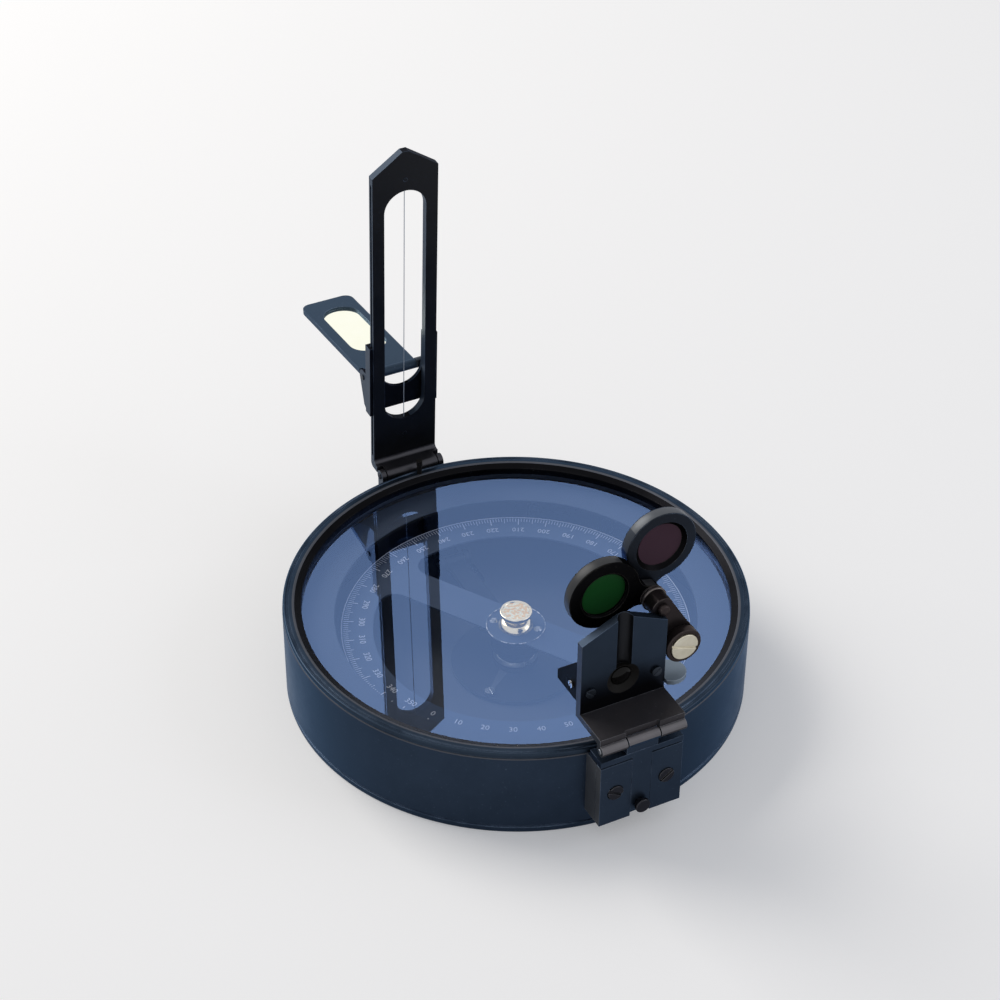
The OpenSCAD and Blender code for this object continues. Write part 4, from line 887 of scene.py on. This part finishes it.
def filter_frame(name, front, arm, angle, recess):
    """A filter frame from its front face backwards: the keyhole outline with rounded
    corners and a lens hole with a bevelled mouth, turned to its angle on the pivot."""
    corner_r = 0.25
    corner_in = 0.07
    seat_r = sight_r + 0.6
    seat = front + 0.9
    rear_face = front + filter_t
    section = [
        ("rim", 0.0, front + corner_r), ("rim", corner_in, front + corner_in),
        ("rim", corner_r, front), ("hole", sight_r + 0.45 + recess, front),
        ("hole", sight_r + 0.35 + recess, front + 0.12),
        ("hole", sight_r, front + 0.35 + recess), ("hole", sight_r, seat),
        ("hole", seat_r, seat), ("hole", seat_r, rear_face - 0.2),
        ("hole", seat_r + 0.2, rear_face), ("rim", corner_r, rear_face),
        ("rim", corner_in, rear_face - corner_in), ("rim", 0.0, rear_face - corner_r),
    ]
    grid = holed_plate(keyhole(arm), np.array([arm, 0.0]), section)
    u, v, depth = grid[..., 0], grid[..., 1], grid[..., 2]
    c, s = math.cos(math.radians(angle)), math.sin(math.radians(angle))
    placed = np.stack([pivot_x + u * c - v * s, depth, pivot_z + u * s + v * c], -1)
    piece = skin(name, placed)
    tidy_mesh(piece)
    return piece


def lens_centre(arm, angle):
    """The x and z of a lens whose arm is turned to an angle on the pivot."""
    turn = math.radians(angle)
    return pivot_x + arm * math.cos(turn), pivot_z + arm * math.sin(turn)


# A face of the rim lies further from the lens than this and looks away from the axis.
rim_r = filter_r - 0.3
flat_n = 0.3
green_lens = lens_centre(12.4, 160)
surround = filter_frame("green_surround", -43.9, 12.4, 160, 0.0)
# The green frame is painted black: painted shade.
place(surround, "green_filter", filter_black, "green_frame", smooth=25)
# The green frame's rim is painted lighter where it faces the light: painted light.
paint_faces(surround, rim_light_enamel, lambda m, n: (
    n[:, 0] < 0.5) & (np.abs(n[:, 1]) < flat_n) & (off_axis(m, "y", green_lens) > rim_r))

# Blue-grey on the upward sides of the red frame's rim and paler still along its top: painted
# light, lightest where the rim faces up.
rim_side_light = enamel("blue rim with painted light", ("#33373e", "#41464e"), "#7c8088",
                    rough=0.36, tint="#b0b8c6", lustre=0.5)
rim_crest_highlight = enamel("rim top with painted highlight", ("#4e5258", "#65686c"), "#8f8d8a",
                 rough=0.36, tint="#c0c4cc", lustre=0.4)
red_lens = lens_centre(10.8, 69)
red_mouth_r = sight_r + 1.0
surround = filter_frame("red_surround", -40.8, 10.8, 69, 0.5)
place(surround, "red_filter", filter_blue, "red_frame", smooth=25)
# Painted light on the rim's upward sides.
paint_faces(surround, rim_side_light, lambda m, n: (
    n[:, 2] > 0.1) & (np.abs(n[:, 1]) < flat_n) & (off_axis(m, "y", red_lens) > rim_r))
# Painted highlight along the rim's top.
paint_faces(surround, rim_crest_highlight, lambda m, n: (
    n[:, 2] > 0.65) & (np.abs(n[:, 1]) < flat_n) & (off_axis(m, "y", red_lens) > rim_r))
# The mouth round the red lens is painted black: painted shade in the recess.
paint_faces(surround, filter_black, lambda m, n: off_axis(m, "y", red_lens) < red_mouth_r)

# Washers between the bracket and the frames, and a domed nut in front. The washers are
# rubbed to a warm grey-brown that catches a narrow light.
stack_brown = enamel("brown washer enamel", ("#57514f", "#6b6462"), "#a8a29e",
                     rough=0.3, tint="#b0a8a4", lustre=0.6)
pivot_at = (pivot_x, 0, pivot_z)
washer_profile = [
    [1.1, -45.3], [2.8, -45.3], [3.0, -45.15], [3.0, -44.75], [2.8, -44.6], [2.6, -44.55],
    [2.6, -44.4], [2.9, -44.35], [2.9, -44.0], [1.1, -44.0],
]
washers = lathe("pivot_washers", washer_profile, turns=96, axis="y", centre=pivot_at)
place(washers, "prism_arm", stack_brown)
nut_profile = [
    [0, -50.15], [0.9, -50.1], [1.25, -49.9], [1.38, -49.6], [1.38, -48.6], [0, -48.6],
]
nut = lathe("pivot_front_nut", nut_profile, turns=48, axis="y", centre=pivot_at)
place(nut, "prism_arm", bush_brown, smooth=50)

# Pot-coloured glass, so deep that it reads nearly black, with a dim clean polish.
dim_polish = {"Roughness": 0.22, "Specular IOR Level": 0.05}
green_pot = clouded("green sun glass", "#1a4a22", "#1f5328", 6.67, dim_polish)
red_pot = clouded("red sun glass", "#422c38", "#4a3340", 6.67, dim_polish)
carry_over(green_pot, "green_glass")
carry_over(red_pot, "red_glass")

# Lifting pin
# A pin in the rim, dark with oil, that the folded vane presses. It tips the lever under
# the card, which lifts the card off its point.
softened("lift_pin", "lifting_pin", "lift_pin", mouth_black)

# Brake
# A headed button in the wall, blackened like the screws, that bends a strip of spring
# bronze against the card's edge.
softened("brake_head", "brake_button", "brake", screw_black, edge=0.3, segments=3)
